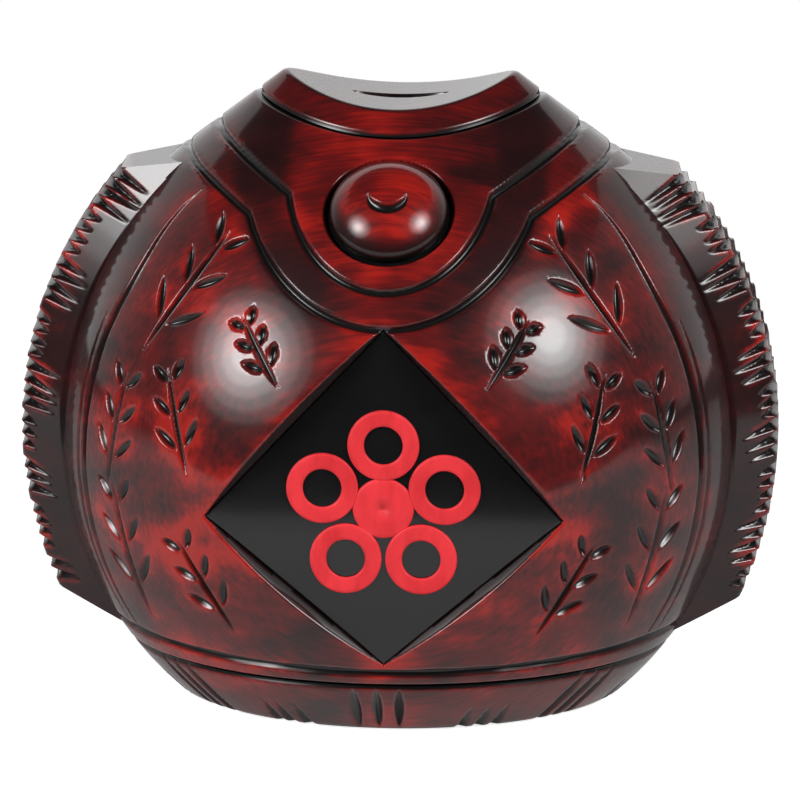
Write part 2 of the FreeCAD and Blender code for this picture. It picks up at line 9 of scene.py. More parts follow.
import bpy
import numpy as np
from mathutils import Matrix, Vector


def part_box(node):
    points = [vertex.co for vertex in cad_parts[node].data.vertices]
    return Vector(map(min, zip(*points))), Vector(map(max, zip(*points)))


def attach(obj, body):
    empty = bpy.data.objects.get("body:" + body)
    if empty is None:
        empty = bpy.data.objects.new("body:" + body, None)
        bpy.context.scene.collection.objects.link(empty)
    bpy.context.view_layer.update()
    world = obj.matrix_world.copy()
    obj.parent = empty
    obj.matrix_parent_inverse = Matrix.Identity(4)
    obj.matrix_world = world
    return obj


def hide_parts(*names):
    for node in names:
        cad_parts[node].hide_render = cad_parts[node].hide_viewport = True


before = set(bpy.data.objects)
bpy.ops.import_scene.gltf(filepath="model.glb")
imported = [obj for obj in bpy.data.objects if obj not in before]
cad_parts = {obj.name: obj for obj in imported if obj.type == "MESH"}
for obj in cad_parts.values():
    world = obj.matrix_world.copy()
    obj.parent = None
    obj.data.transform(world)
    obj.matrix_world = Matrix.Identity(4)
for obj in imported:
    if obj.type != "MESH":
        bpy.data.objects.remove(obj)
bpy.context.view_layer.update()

MM = 0.001
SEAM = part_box("rear_shell")[0].y / MM
FRONT_MIDDLE = 0.0
REAR_MIDDLE = math.pi
QUARTER = math.pi / 2.0
HALVINGS = 40
LIP_POWER = 0.8
FOOT_LIP_SLOPE = 1.3
CAP_LIP_SLOPE = 1.45
GROOVE_FADE = (0.25, 1.0)
SHORTEST = 1e-9
NOISE_MIDDLE = 0.5
BLOTCH_WAVES = (
    (0.65, ((1.0, 0.0, 0.6), 1.3), ((-0.5, 0.7, 0.9), 0.4)),
    (0.35, ((1.52, 0.57, -1.9), 2.1), ((0.0, 0.92, 2.3), 0.9)))
log = logging.getLogger("money_box")
Array = np.ndarray
Material = bpy.types.Material
Piece = bpy.types.Object
Socket = bpy.types.NodeSocket
Pair = tuple[float, float]
Triple = tuple[float, float, float]
Colour = Triple


class Half(Enum):
    """The two halves of the pouch, by the azimuth of their middle."""

    FRONT = FRONT_MIDDLE
    REAR = REAR_MIDDLE


class Side(Enum):
    """The two sides of the box, by the sign of X."""

    LEFT = -1.0
    RIGHT = 1.0


class Slot(Enum):
    """Material slots of the record."""

    LACQUER = "red_black_lacquer"
    WOOD = "bare_wood"
    BLACK = "black_lacquer"
    VERMILION = "vermilion_lacquer"
    RUBBER = "stopper_rubber"


def smooth_step(low: float, high: float, value: Array) -> Array:
    """Ease from 0 at low to 1 at high.

    Args:
        low: Value where the ease starts.
        high: Value where the ease ends.
        value: Values to ease.

    Returns:
        Eased values from 0 to 1.
    """
    share = np.clip((value - low) / (high - low), 0.0, 1.0)
    return share * share * (3.0 - 2.0 * share)


def mottle(x: Array, y: Array, z: Array, wavelength: float) -> Array:
    """Slow uneven pattern from crossed waves, for hand-worked colour and surfaces.

    Args:
        x: Places across, in millimetres.
        y: Places front to back, in millimetres.
        z: Heights, in millimetres.
        wavelength: Size of the largest blotches, in millimetres.

    Returns:
        Values from about -1 to 1.
    """
    turn = 2.0 * math.pi / wavelength
    total = 0.0
    for weight, *crossed in BLOTCH_WAVES:
        for (along_x, along_y, along_z), start in crossed:
            weight = weight * np.sin(turn * (along_x * x + along_y * y + along_z * z) + start)
        total = total + weight
    return total


def full_turn(columns: int) -> Array:
    """Even angles once round the axis."""
    return np.linspace(0.0, 2.0 * math.pi, columns, endpoint=False)


def inward_way(ring: Array) -> Array:
    """Level unit directions from points to the axis."""
    level = -ring * np.array([1.0, 1.0, 0.0])
    return level / np.linalg.norm(level, axis=-1, keepdims=True)


def joint_lip(away: Array, cut: float) -> Array:
    """Depth of the rounded lip beside a joint, from the distance and the depth at the joint."""
    return cut * np.clip(1.0 - away / cut, 0.0, 1.0) ** LIP_POWER


def halve(low: Array, high: Array, past: Callable[[Array], Array]) -> Array:
    """Close in on the places where a test turns true.

    Args:
        low: Places where the test is false.
        high: Places where the test is true.
        past: Test of places between them.

    Returns:
        Places where it turns.
    """
    for _ in range(HALVINGS):
        middle = (low + high) / 2.0
        over = past(middle)
        low, high = np.where(over, low, middle), np.where(over, middle, high)
    return (low + high) / 2.0


@dataclass(frozen=True)
class RedSpot:
    """Soft airbrushed spot of red, in millimetres."""

    across: float
    up: float
    half_width: float
    half_height: float
    strength: float

    def share(self, x: Array, z: Array) -> Array:
        """Red that the spot adds at places across and up."""
        fall = ((x - self.across) / self.half_width) ** 2 + ((z - self.up) / self.half_height) ** 2
        return self.strength * np.exp(-fall)


@dataclass
class MeshSheet:
    """Points, faces and point values of one mesh, in millimetres from the pouch's own axis."""

    points: Array
    corners: Array
    counts: Array
    tone: Array | None = None
    groove: Array | None = None
    corner_normals: Array | None = None

    def to_object(self, name: str, sharp: float = 0.0) -> Piece:
        """Make a Blender object of the sheet.

        Args:
            name: Name of the piece.
            sharp: Angle in degrees above which edges stay sharp, 0 to soften all.

        Returns:
            The linked object, in metres.
        """
        mesh = bpy.data.meshes.new(name)
        mesh.vertices.add(len(self.points))
        placed = (self.points + np.array([0.0, SEAM, 0.0])) * MM
        mesh.vertices.foreach_set("co", placed.astype(np.float32).ravel())
        mesh.loops.add(len(self.corners))
        mesh.loops.foreach_set("vertex_index", self.corners.astype(np.int32))
        mesh.polygons.add(len(self.counts))
        starts = np.concatenate(([0], np.cumsum(self.counts)[:-1])).astype(np.int32)
        mesh.polygons.foreach_set("loop_start", starts)
        mesh.update(calc_edges=True)
        for label, values in (("tone", self.tone), ("groove", self.groove)):
            if values is not None:
                layer = mesh.attributes.new(label, "FLOAT", "POINT")
                layer.data.foreach_set("value", values.astype(np.float32))
        mesh.validate()
        mesh.shade_smooth()
        if self.corner_normals is not None:
            mesh.normals_split_custom_set(self.corner_normals.astype(np.float32).tolist())
        if sharp > 0.0:
            mesh.set_sharp_from_angle(angle=math.radians(sharp))
        piece = bpy.data.objects.new(name, mesh)
        bpy.context.scene.collection.objects.link(piece)
        return piece


def ring_stack(rings: Array, closed: bool) -> tuple[Array, Array]:
    """Faces between rings of points that run round an axis.

    Args:
        rings: Points by ring, column and coordinate.
        closed: Whether the last ring joins the first.

    Returns:
        Corner indices and corner counts of the faces.
    """
    ring_count, columns = rings.shape[:2]
    last = ring_count if closed else ring_count - 1
    ring, column = np.meshgrid(np.arange(last), np.arange(columns), indexing="ij")
    above = (ring + 1) % ring_count
    after = (column + 1) % columns
    quads = np.stack([ring * columns + column, ring * columns + after,
                      above * columns + after, above * columns + column], axis=-1)
    return quads.reshape(-1), np.full(last * columns, 4)


@dataclass
class RingLoft:
    """Rings of points round an axis, with their red and groove shares, that close into one mesh."""

    columns: int
    rings: list[Array] = field(default_factory=list)
    tones: list[Array] = field(default_factory=list)
    grooves: list[Array] = field(default_factory=list)

    def add(self, ring: Array, tone: Array | float, groove: Array | float) -> None:
        """Add a ring.

        Args:
            ring: Points of the ring.
            tone: Red share, for the ring or for each point.
            groove: Groove share, likewise.
        """
        self.rings.append(ring)
        self.tones.append(np.broadcast_to(tone, self.columns))
        self.grooves.append(np.broadcast_to(groove, self.columns))

    def sheet(self) -> MeshSheet:
        """Loft through all rings, back to the first.

        Returns:
            The closed mesh.
        """
        corners, counts = ring_stack(np.array(self.rings), True)
        colours = [np.concatenate(values) for values in (self.tones, self.grooves)]
        return MeshSheet(np.concatenate(self.rings), corners, counts, *colours)


def dress(piece: Piece, material: Material, node: str) -> Piece:
    """Finish a piece and let it stand for its node on the box.

    Args:
        piece: Object to dress.
        material: Finish of the piece.
        node: Node that the piece stands for.

    Returns:
        The same object.
    """
    piece.data.materials.clear()
    piece.data.materials.append(material)
    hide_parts(node)
    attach(piece, "box")
    log.info("%s: %d points, %d faces", piece.name, len(piece.data.vertices), len(piece.data.polygons))
    return piece


class NodePainter:
    """Small helper that adds and links shader nodes of one material."""

    def __init__(self, name: str) -> None:
        """Start an empty material with a principled surface.

        Args:
            name: Name of the material.
        """
        self.material = bpy.data.materials.new(name)
        self.material.use_nodes = True
        self.tree = self.material.node_tree
        self.surface = self.tree.nodes["Principled BSDF"]

    def add(self, kind: str, **settings: object) -> bpy.types.Node:
        """Add a node.

        Args:
            kind: Blender's name of the node type.
            **settings: Properties, or socket values where the name is a socket's.

        Returns:
            The new node.
        """
        node = self.tree.nodes.new(kind)
        for key, value in settings.items():
            if key in node.inputs:
                node.inputs[key].default_value = value
            else:
                setattr(node, key, value)
        return node

    def link(self, source: Socket, target: Socket) -> None:
        """Join an output to an input."""
        self.tree.links.new(source, target)

    def value(self, label: str) -> Socket:
        """Output that gives a point value of the mesh."""
        return self.add("ShaderNodeAttribute", attribute_name=label).outputs["Fac"]

    def feed(self, socket: Socket, given: object) -> None:
        """Give a socket another's output, a number or a colour.

        Args:
            socket: Socket to feed.
            given: Output, number or colour.
        """
        if isinstance(given, Socket):
            self.link(given, socket)
        elif isinstance(given, tuple):
            socket.default_value = (*given, 1.0)
        else:
            socket.default_value = given

    def cover(self, label: str, given: object) -> None:
        """Feed one socket of the surface."""
        self.feed(self.surface.inputs[label], given)

    def math(self, kind: str, first: object, second: object) -> Socket:
        """Combine two numbers.

        Args:
            kind: Operation.
            first: Socket or number.
            second: Socket or number.

        Returns:
            Output with the result.
        """
        node = self.add("ShaderNodeMath", operation=kind)
        for socket, given in zip(node.inputs, (first, second)):
            self.feed(socket, given)
        return node.outputs[0]

    def scaled(self, source: Socket, scale: float, start: float) -> Socket:
        """Number that is scaled and then raised by a start."""
        return self.math("ADD", self.math("MULTIPLY", source, scale), start)

    def noise(self, scale: Triple, detail: float, roughness: float = 0.55) -> Socket:
        """Fractal noise on stretched object coordinates.

        Args:
            scale: Stretch along each axis, per metre.
            detail: Number of finer layers.
            roughness: Share that each finer layer keeps.

        Returns:
            Output with the noise.
        """
        place = self.add("ShaderNodeMapping", Scale=scale)
        self.link(self.add("ShaderNodeTexCoord").outputs["Object"], place.inputs["Vector"])
        node = self.add("ShaderNodeTexNoise", Scale=1.0, Detail=detail, Roughness=roughness)
        self.link(place.outputs["Vector"], node.inputs["Vector"])
        return node.outputs["Fac"]

    def speckle(self, scale: float, detail: float) -> Socket:
        """Fractal noise with the same scale along each axis."""
        return self.noise((scale, scale, scale), detail)

    def ramp(self, source: Socket, *stops: tuple[float, Colour]) -> Socket:
        """Colour ramp.

        Args:
            source: Number that picks the colour.
            *stops: Places from 0 to 1 with their colours.

        Returns:
            Output with the colour.
        """
        node = self.add("ShaderNodeValToRGB")
        elements = node.color_ramp.elements
        while len(elements) < len(stops):
            elements.new(1.0)
        for element, (place, colour) in zip(elements, stops):
            element.position = place
            element.color = (*colour, 1.0)
        self.link(source, node.inputs["Fac"])
        return node.outputs["Color"]

    def mix(self, share: Socket, first: Socket, second: Colour) -> Socket:
        """Mix of two colours.

        Args:
            share: Share of the second colour.
            first: Output with the first colour.
            second: Second colour.

        Returns:
            Output with the mix.
        """
        node = self.add("ShaderNodeMix", data_type="RGBA")
        sockets = {socket.identifier: socket for socket in (*node.inputs, *node.outputs)}
        self.link(share, sockets["Factor_Float"])
        self.link(first, sockets["A_Color"])
        self.feed(sockets["B_Color"], second)
        return sockets["Result_Color"]

    def bump(self, height: Socket, strength: float, distance: float) -> None:
        """Relief of the surface.

        Args:
            height: Output with the height.
            strength: Share of the relief that shows.
            distance: Height of the relief, in metres.
        """
        node = self.add("ShaderNodeBump", Strength=strength, Distance=distance)
        self.link(height, node.inputs["Height"])
        self.cover("Normal", node.outputs["Normal"])

    def settle(self, **sockets: float) -> None:
        """Set constant values on the surface's own sockets."""
        for key, value in sockets.items():
            self.surface.inputs[key.replace("_", " ")].default_value = value


@dataclass(frozen=True)
class RubbedLacquer:
    """Red lacquer shaded to black, clear coated, with the wood's rings showing through."""

    name: str = "red_black_lacquer"
    black: Colour = (0.0075, 0.0035, 0.0040)
    brown: Colour = (0.030, 0.0050, 0.0055)
    wine: Colour = (0.130, 0.0065, 0.0065)
    red: Colour = (0.400, 0.0135, 0.0085)
    gouge: Colour = (0.0060, 0.0052, 0.0052)
    brown_at: float = 0.30
    wine_at: float = 0.62
    ring_pitch: float = 0.9
    ring_stretch: Triple = (0.05, 1.0, 0.30)
    ring_detail: float = 2.0
    brush_scale: Triple = (26.0, 26.0, 60.0)
    brush_detail: float = 3.0
    fleck_scale: float = 420.0
    fleck_detail: float = 2.0
    grain: float = 0.8
    grain_floor: float = 0.15
    shading: float = 1.9
    shading_floor: float = 0.10
    roughness: float = 0.34
    fleck_roughness: float = 0.16
    relief_share: float = 0.5
    relief: float = 0.16
    relief_height: float = 0.00012
    coat: float = 0.85
    coat_roughness: float = 0.10
    coat_index: float = 1.5
    sheen_level: float = 0.12

    def make(self) -> Material:
        """Build the lacquer.

        Returns:
            The material, which reads the point values tone and groove.
        """
        paint = NodePainter(self.name)
        per_metre = 1.0 / (self.ring_pitch * MM)
        ring_scale = tuple(stretch * per_metre for stretch in self.ring_stretch)
        rings = paint.noise(ring_scale, self.ring_detail)
        brushing = paint.noise(self.brush_scale, self.brush_detail)
        fleck = paint.speckle(self.fleck_scale, self.fleck_detail)
        shade = tone = paint.value("tone")
        for source, floor, amount in ((rings, self.grain_floor, self.grain),
                                      (brushing, self.shading_floor, self.shading)):
            swing = paint.math("SUBTRACT", source, NOISE_MIDDLE)
            swing = paint.math("MULTIPLY", swing, paint.math("ADD", tone, floor))
            shade = paint.math("ADD", shade, paint.math("MULTIPLY", swing, amount))
        colour = paint.ramp(shade, (0.0, self.black), (self.brown_at, self.brown),
                            (self.wine_at, self.wine), (1.0, self.red))
        paint.cover("Base Color", paint.mix(paint.value("groove"), colour, self.gouge))
        paint.cover("Roughness", paint.scaled(fleck, self.fleck_roughness, self.roughness))
        halves = [paint.math("MULTIPLY", source, self.relief_share) for source in (rings, fleck)]
        paint.bump(paint.math("ADD", *halves), self.relief, self.relief_height)
        paint.settle(Coat_Weight=self.coat, Coat_Roughness=self.coat_roughness, Coat_IOR=self.coat_index,
                     Specular_IOR_Level=self.sheen_level)
        return paint.material


@dataclass(frozen=True)
class PlainFinish:
    """Finish of two clouded colours with fine specks, and a clear coat where it has one."""

    name: str
    low: Colour
    high: Colour
    cloud_scale: Triple
    cloud_ends: Pair
    speck_scale: float
    roughness: float
    speck_roughness: float
    relief: float
    relief_height: float
    speck_relief: bool = False
    cloud_detail: float = 4.0
    speck_detail: float = 2.0
    coat: float = 0.0
    coat_roughness: float = 0.10
    sheen_level: float = 0.5

    def make(self) -> Material:
        """Build the finish.

        Returns:
            The material.
        """
        paint = NodePainter(self.name)
        cloud = paint.noise(self.cloud_scale, self.cloud_detail)
        specks = paint.speckle(self.speck_scale, self.speck_detail)
        paint.cover("Base Color", paint.ramp(cloud, *zip(self.cloud_ends, (self.low, self.high))))
        paint.cover("Roughness", paint.scaled(specks, self.speck_roughness, self.roughness))
        paint.bump(specks if self.speck_relief else cloud, self.relief, self.relief_height)
        paint.settle(Coat_Weight=self.coat, Coat_Roughness=self.coat_roughness,
                     Specular_IOR_Level=self.sheen_level)
        return paint.material


PANEL_LACQUER = PlainFinish(
    "black_lacquer", low=(0.0055, 0.0055, 0.0060), high=(0.0105, 0.0100, 0.0105),
    cloud_scale=(30.0, 30.0, 60.0), cloud_ends=(0.30, 0.75), speck_scale=700.0, roughness=0.14,
    speck_roughness=0.10, relief=0.05, relief_height=0.0002, coat=0.4, sheen_level=0.4)
MOTIF_LACQUER = PlainFinish(
    "vermilion_lacquer", low=(0.72, 0.022, 0.030), high=(0.93, 0.040, 0.052),
    cloud_scale=(160.0, 160.0, 60.0), cloud_ends=(0.30, 0.62), speck_scale=900.0, roughness=0.42,
    speck_roughness=0.2, relief=0.10, relief_height=0.0002, sheen_level=0.35)
STOPPER_RUBBER = PlainFinish(
    "stopper_rubber", low=(0.012, 0.012, 0.013), high=(0.030, 0.030, 0.032),
    cloud_scale=(60.0, 60.0, 60.0), cloud_ends=(0.35, 0.75), speck_scale=1500.0, roughness=0.58,
    speck_roughness=0.2, relief=0.2, relief_height=0.0001, speck_relief=True)


@dataclass(frozen=True)
class BareWood:
    """Unfinished pale wood with long grain."""

    name: str = "bare_wood"
    pale: Colour = (0.52, 0.34, 0.19)
    dark: Colour = (0.33, 0.19, 0.09)
    grain_scale: Triple = (18.0, 320.0, 320.0)
    grain_detail: float = 6.0
    grain_roughness: float = 0.6
    grain_ends: Pair = (0.32, 0.62)
    pore_scale: Triple = (120.0, 1800.0, 1800.0)
    pore_detail: float = 2.0
    pore_share: float = 0.25
    roughness: float = 0.55
    pore_roughness: float = 0.2
    relief: float = 0.25
    relief_height: float = 0.0003

    def make(self) -> Material:
        """Build the bare wood.

        Returns:
            The material.
        """
        paint = NodePainter(self.name)
        grain = paint.noise(self.grain_scale, self.grain_detail, self.grain_roughness)
        pores = paint.noise(self.pore_scale, self.pore_detail)
        both = paint.math("ADD", paint.math("MULTIPLY", grain, 1.0 - self.pore_share),
                          paint.math("MULTIPLY", pores, self.pore_share))
        paint.cover("Base Color", paint.ramp(both, *zip(self.grain_ends, (self.dark, self.pale))))
        paint.cover("Roughness", paint.scaled(pores, self.pore_roughness, self.roughness))
        paint.bump(both, self.relief, self.relief_height)
        return paint.material


@dataclass
class PouchForm:
    """Outer form of the pouch and its neck, in millimetres, with the frame's own reach."""

    half_belly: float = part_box("front_shell")[1].x / MM
    half_belly_depth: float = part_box("rear_shell")[1].y / MM - SEAM
    tip_height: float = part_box("neck_cap")[1].z / MM
    foot_height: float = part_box("rear_shell")[0].z / MM
    belly_height: float = 82.0
    half_shoulder: float = 73.0
    half_shoulder_depth: float = 48.3
    shoulder_height: float = 172.0
    half_tip: float = 36.5
    half_rim_depth: float = 24.45
    saddle_low: float = 191.3
    seat_low: float = 184.7
    seat_radius: float = 122.0
    wall: float = 24.0
    cavity_top: float = 160.0
    search_margin: float = 1.0

    def __post_init__(self) -> None:
        """Work out the radius of the saddle from its dip and the tips."""
        dip = self.tip_height - self.saddle_low
        self.saddle_radius = (self.half_tip ** 2 + dip ** 2) / (2.0 * dip)

    def upper_half(self, z: Array, belly: float, shoulder: float) -> Array:
        """Half size above the belly, on the arc that ends at the shoulder.

        Args:
            z: Heights.
            belly: Half size at the belly.
            shoulder: Half size at the shoulder.

        Returns:
            Half sizes.
        """
        rise = self.shoulder_height - self.belly_height
        offset = (shoulder ** 2 + rise ** 2 - belly ** 2) / (2.0 * (belly - shoulder))
        return np.sqrt(np.maximum((belly + offset) ** 2 - (z - self.belly_height) ** 2, 0.0)) - offset

    def halves(self, z: Array) -> tuple[Array, Array]:
        """Half width and half depth at heights.

        Args:
            z: Heights.

        Returns:
            Half widths and half depths.
        """
        z = np.asarray(z, float)
        below = np.sqrt(np.maximum(self.half_belly ** 2 - (z - self.belly_height) ** 2, 0.0))
        wide = np.where(z > self.belly_height, self.upper_half(z, self.half_belly, self.half_shoulder), below)
        deep_above = self.upper_half(z, self.half_belly_depth, self.half_shoulder_depth)
        deep = np.where(z > self.belly_height, deep_above, below * self.half_belly_depth / self.half_belly)
        up = z - self.shoulder_height
        neck_wide = self.half_shoulder - up * (self.half_shoulder - self.half_tip) / (
            self.tip_height - self.shoulder_height)
        neck_deep = self.half_shoulder_depth - up * (self.half_shoulder_depth - self.half_rim_depth) / (
            self.saddle_low - self.shoulder_height)
        return np.where(up > 0.0, neck_wide, wide), np.where(up > 0.0, neck_deep, deep)

    def place(self, azimuth: Array, z: Array, inset: float = 0.0) -> Array:
        """Points on the form, or on one drawn in by inset.

        Args:
            azimuth: Angles round the axis, 0 at the front and positive to the right.
            z: Heights.
            inset: How far the points are drawn in.

        Returns:
            Points, with the coordinate as last axis.
        """
        wide, deep = self.halves(z)
        x = (wide - inset) * np.sin(azimuth)
        y = -(deep - inset) * np.cos(azimuth)
        return np.stack(np.broadcast_arrays(x, y, z), axis=-1).astype(float)

    def azimuth_at(self, x: Array, z: Array) -> Array:
        """Front azimuth of the points with those X and heights."""
        return np.arcsin(np.clip(x / self.halves(z)[0], -1.0, 1.0))

    def seat(self, x: Array) -> Array:
        """Height of the curved seat under the cap."""
        return self.seat_low + self.seat_radius - np.sqrt(self.seat_radius ** 2 - x ** 2)

    def saddle(self, x: Array) -> Array:
        """Height of the saddle on the cap."""
        rest = np.maximum(self.saddle_radius ** 2 - x ** 2, 0.0)
        return self.saddle_low + self.saddle_radius - np.sqrt(rest)

    def edge_height(self, azimuth: Array, surface: Callable[[Array], Array]) -> Array:
        """Height at which the neck meets a curved surface.

        Args:
            azimuth: Angles round the axis.
            surface: Function that gives the surface's height at X.

        Returns:
            Heights.
        """
        low = np.full(np.shape(azimuth), self.shoulder_height)
        high = np.full(np.shape(azimuth), self.tip_height + self.search_margin)
        return halve(low, high, lambda z: z > surface(self.halves(z)[0] * np.sin(azimuth)))


@dataclass
class Stroke:
    """One gouge cut along a line of points on the form."""

    points: Array
    half_width: float
    depth: float
    pointed: bool = True
    halo: float = 1.0


@dataclass
class CarvedGrid:
    """Fine grid over one half of the form, with the depth of all cuts in it, in millimetres.

    A leaf limit gives a cell size and how near to a cut it may come. A sway wave gives pitch, start and
    share.
    """

    form: PouchForm
    half: Half
    columns: int = 640
    rows: int = 384
    leaf_limits: tuple[tuple[int, float], ...] = ((8, 2.8), (4, 0.9), (2, 0.1), (1, -math.inf))
    reach: float = 8.0
    sway: float = 0.06
    sway_waves: tuple[Triple, ...] = ((0.17, 1.0, 1.0), (0.43, 0.0, 0.6))
    blunt: float = 0.02
    bowl_spread: float = 1.25
    thinnest: float = 0.001

    def __post_init__(self) -> None:
        """Lay the grid and clear its cuts."""
        turn = np.linspace(-QUARTER, QUARTER, self.columns + 1) + self.half.value
        top = self.form.edge_height(turn, self.form.seat)
        share = np.linspace(0.0, 1.0, self.rows + 1)[:, None]
        self.azimuth = np.broadcast_to(turn, (self.rows + 1, self.columns + 1))
        self.z = self.form.foot_height + (top - self.form.foot_height) * share
        self.top = np.broadcast_to(top, self.z.shape)
        self.base = self.form.place(self.azimuth, self.z)
        self.normal = self.grid_normals(self.base)
        self.depth = np.zeros(self.z.shape)
        self.near = np.full(self.z.shape, self.reach)
        self.glow = np.zeros(self.z.shape)

    def grid_normals(self, points: Array) -> Array:
        """Outward normals of a grid of points.

        Args:
            points: Points by row and column.

        Returns:
            Unit normals by row and column.
        """
        across = np.gradient(points, axis=1)
        up = np.gradient(points, axis=0)
        normal = np.cross(across, up)
        return normal / np.maximum(np.linalg.norm(normal, axis=-1, keepdims=True), SHORTEST)

    def cut(self, stroke: Stroke) -> None:
        """Carve one stroke.

        Args:
            stroke: Cut to carve.
        """
        steps = np.linalg.norm(np.diff(stroke.points, axis=0), axis=1)
        along = np.concatenate(([0.0], np.cumsum(steps)))
        for i, step in enumerate(steps):
            self.cut_segment(stroke, stroke.points[i], stroke.points[i + 1], along[i], step, along[-1])

    def cut_segment(self, stroke: Stroke, start: Array, end: Array, before: float, step: float,
                    whole: float) -> None:
        """Carve one straight run of a stroke.

        Args:
            stroke: Cut that the run belongs to.
            start: First point.
            end: Last point.
            before: Length of the stroke before the run.
            step: Length of the run.
            whole: Length of the stroke.
        """
        reach = self.reach + stroke.half_width
        window = self.window(np.minimum(start, end) - reach, np.maximum(start, end) + reach)
        if window is None:
            return
        points = self.base[window]
        share = np.clip(((points - start) @ (end - start)) / step ** 2, 0.0, 1.0)
        away = np.linalg.norm(points - start - share[..., None] * (end - start), axis=-1)
        run = before + share * step
        place = np.clip(run / whole, self.blunt, 1.0 - self.blunt)
        swell = np.sqrt(np.sin(math.pi * place)) if stroke.pointed else 1.0
        half = stroke.half_width * swell * self.hand_sway(run)
        spread = np.maximum(self.bowl_spread * half, self.thinnest)
        bowl = np.clip(1.0 - (away / spread) ** 2, 0.0, 1.0) ** 2
        self.depth[window] = np.maximum(self.depth[window], stroke.depth * swell * bowl)
        self.near[window] = np.minimum(self.near[window], away - half)
        glow = stroke.halo * np.clip(1.0 - (away - half) / self.reach, 0.0, 1.0) ** 2
        self.glow[window] = np.maximum(self.glow[window], glow)

    def hand_sway(self, run: Array) -> Array:
        """Unevenness of a hand-cut stroke's width along its run."""
        waves = (share * np.sin(pitch * run + start) for pitch, start, share in self.sway_waves)
        return 1.0 + self.sway * sum(waves)

    def window(self, low: Array, high: Array) -> tuple[slice, slice] | None:
        """Part of the grid that can hold points of a box.

        Args:
            low: Lowest corner of the box.
            high: Highest corner of the box.

        Returns:
            Row and column slices, or None where the box is empty.
        """
        rows = np.nonzero((self.z.max(axis=1) >= low[2]) & (self.z.min(axis=1) <= high[2]))[0]
        if rows.size == 0:
            return None
        body = self.base[rows[0]:rows[-1] + 1]
        inside = np.all((body[..., :2] >= low[:2]) & (body[..., :2] <= high[:2]), axis=-1).any(axis=0)
        columns = np.nonzero(inside)[0]
        if columns.size == 0:
            return None
        return slice(rows[0], rows[-1] + 1), slice(columns[0], columns[-1] + 1)

    def leaves(self) -> list[tuple[int, Array, Array]]:
        """Cells of the adaptive mesh, small near cuts.

        Returns:
            Cell size with the rows and columns of the cells' low corners, for each size.
        """
        coarsest = self.leaf_limits[0][0]
        open_cells = np.ones((self.rows // coarsest, self.columns // coarsest), bool)
        found = []
        for size, limit in self.leaf_limits:
            leaf = open_cells & (self.closest(size) >= limit)
            rows, columns = np.nonzero(leaf)
            found.append((size, rows * size, columns * size))
            open_cells = np.repeat(np.repeat(open_cells & ~leaf, 2, axis=0), 2, axis=1)
        return found

    def closest(self, size: int) -> Array:
        """Smallest distance to a cut in each cell of a size.

        Args:
            size: Grid steps along a cell's side.

        Returns:
            Distances by row and column of cells.
        """
        low = np.minimum(self.near[:-1], self.near[1:])
        low = np.minimum(low[:, :-1], low[:, 1:])
        return low.reshape(self.rows // size, size, self.columns // size, size).min(axis=(1, 3))

    def skin(self) -> tuple[Array, Array, Array, Array]:
        """Adaptive faces over the grid's points.

        Returns:
            Flat grid indices of the used points, corners, corner counts, and the rim's points in order.
        """
        width = self.columns + 1
        cells = self.leaves()
        used = np.zeros(self.z.shape, bool)
        for size, rows, columns in cells:
            for row_step in (0, size):
                for column_step in (0, size):
                    used[rows + row_step, columns + column_step] = True
        numbers = np.full(used.size, -1)
        kept = np.nonzero(used.ravel())[0]
        numbers[kept] = np.arange(kept.size)
        corners = []
        counts = []
        for size, rows, columns in cells:
            side = np.arange(size)
            row_walk = np.concatenate([0 * side, side, 0 * side + size, size - side])
            column_walk = np.concatenate([side, 0 * side + size, size - side, 0 * side])
            flat = (rows[:, None] + row_walk) * width + columns[:, None] + column_walk
            taken = used.ravel()[flat]
            corners.append(numbers[flat[taken]])
            counts.append(taken.sum(axis=1))
        rim = self.rim_walk(used)
        return kept, np.concatenate(corners), np.concatenate(counts), numbers[rim]

    def rim_walk(self, used: Array) -> Array:
        """Walk round the grid's edge.

        Args:
            used: Which points of the grid are used.

        Returns:
            Flat indices of the used points on the edge, in order.
        """
        width = self.columns + 1
        bottom = np.arange(width)
        right = np.arange(1, self.rows + 1) * width + self.columns
        top = self.rows * width + np.arange(self.columns - 1, -1, -1)
        left = np.arange(self.rows - 1, 0, -1) * width
        walk = np.concatenate([bottom, right, top, left])
        return walk[used.ravel()[walk]]


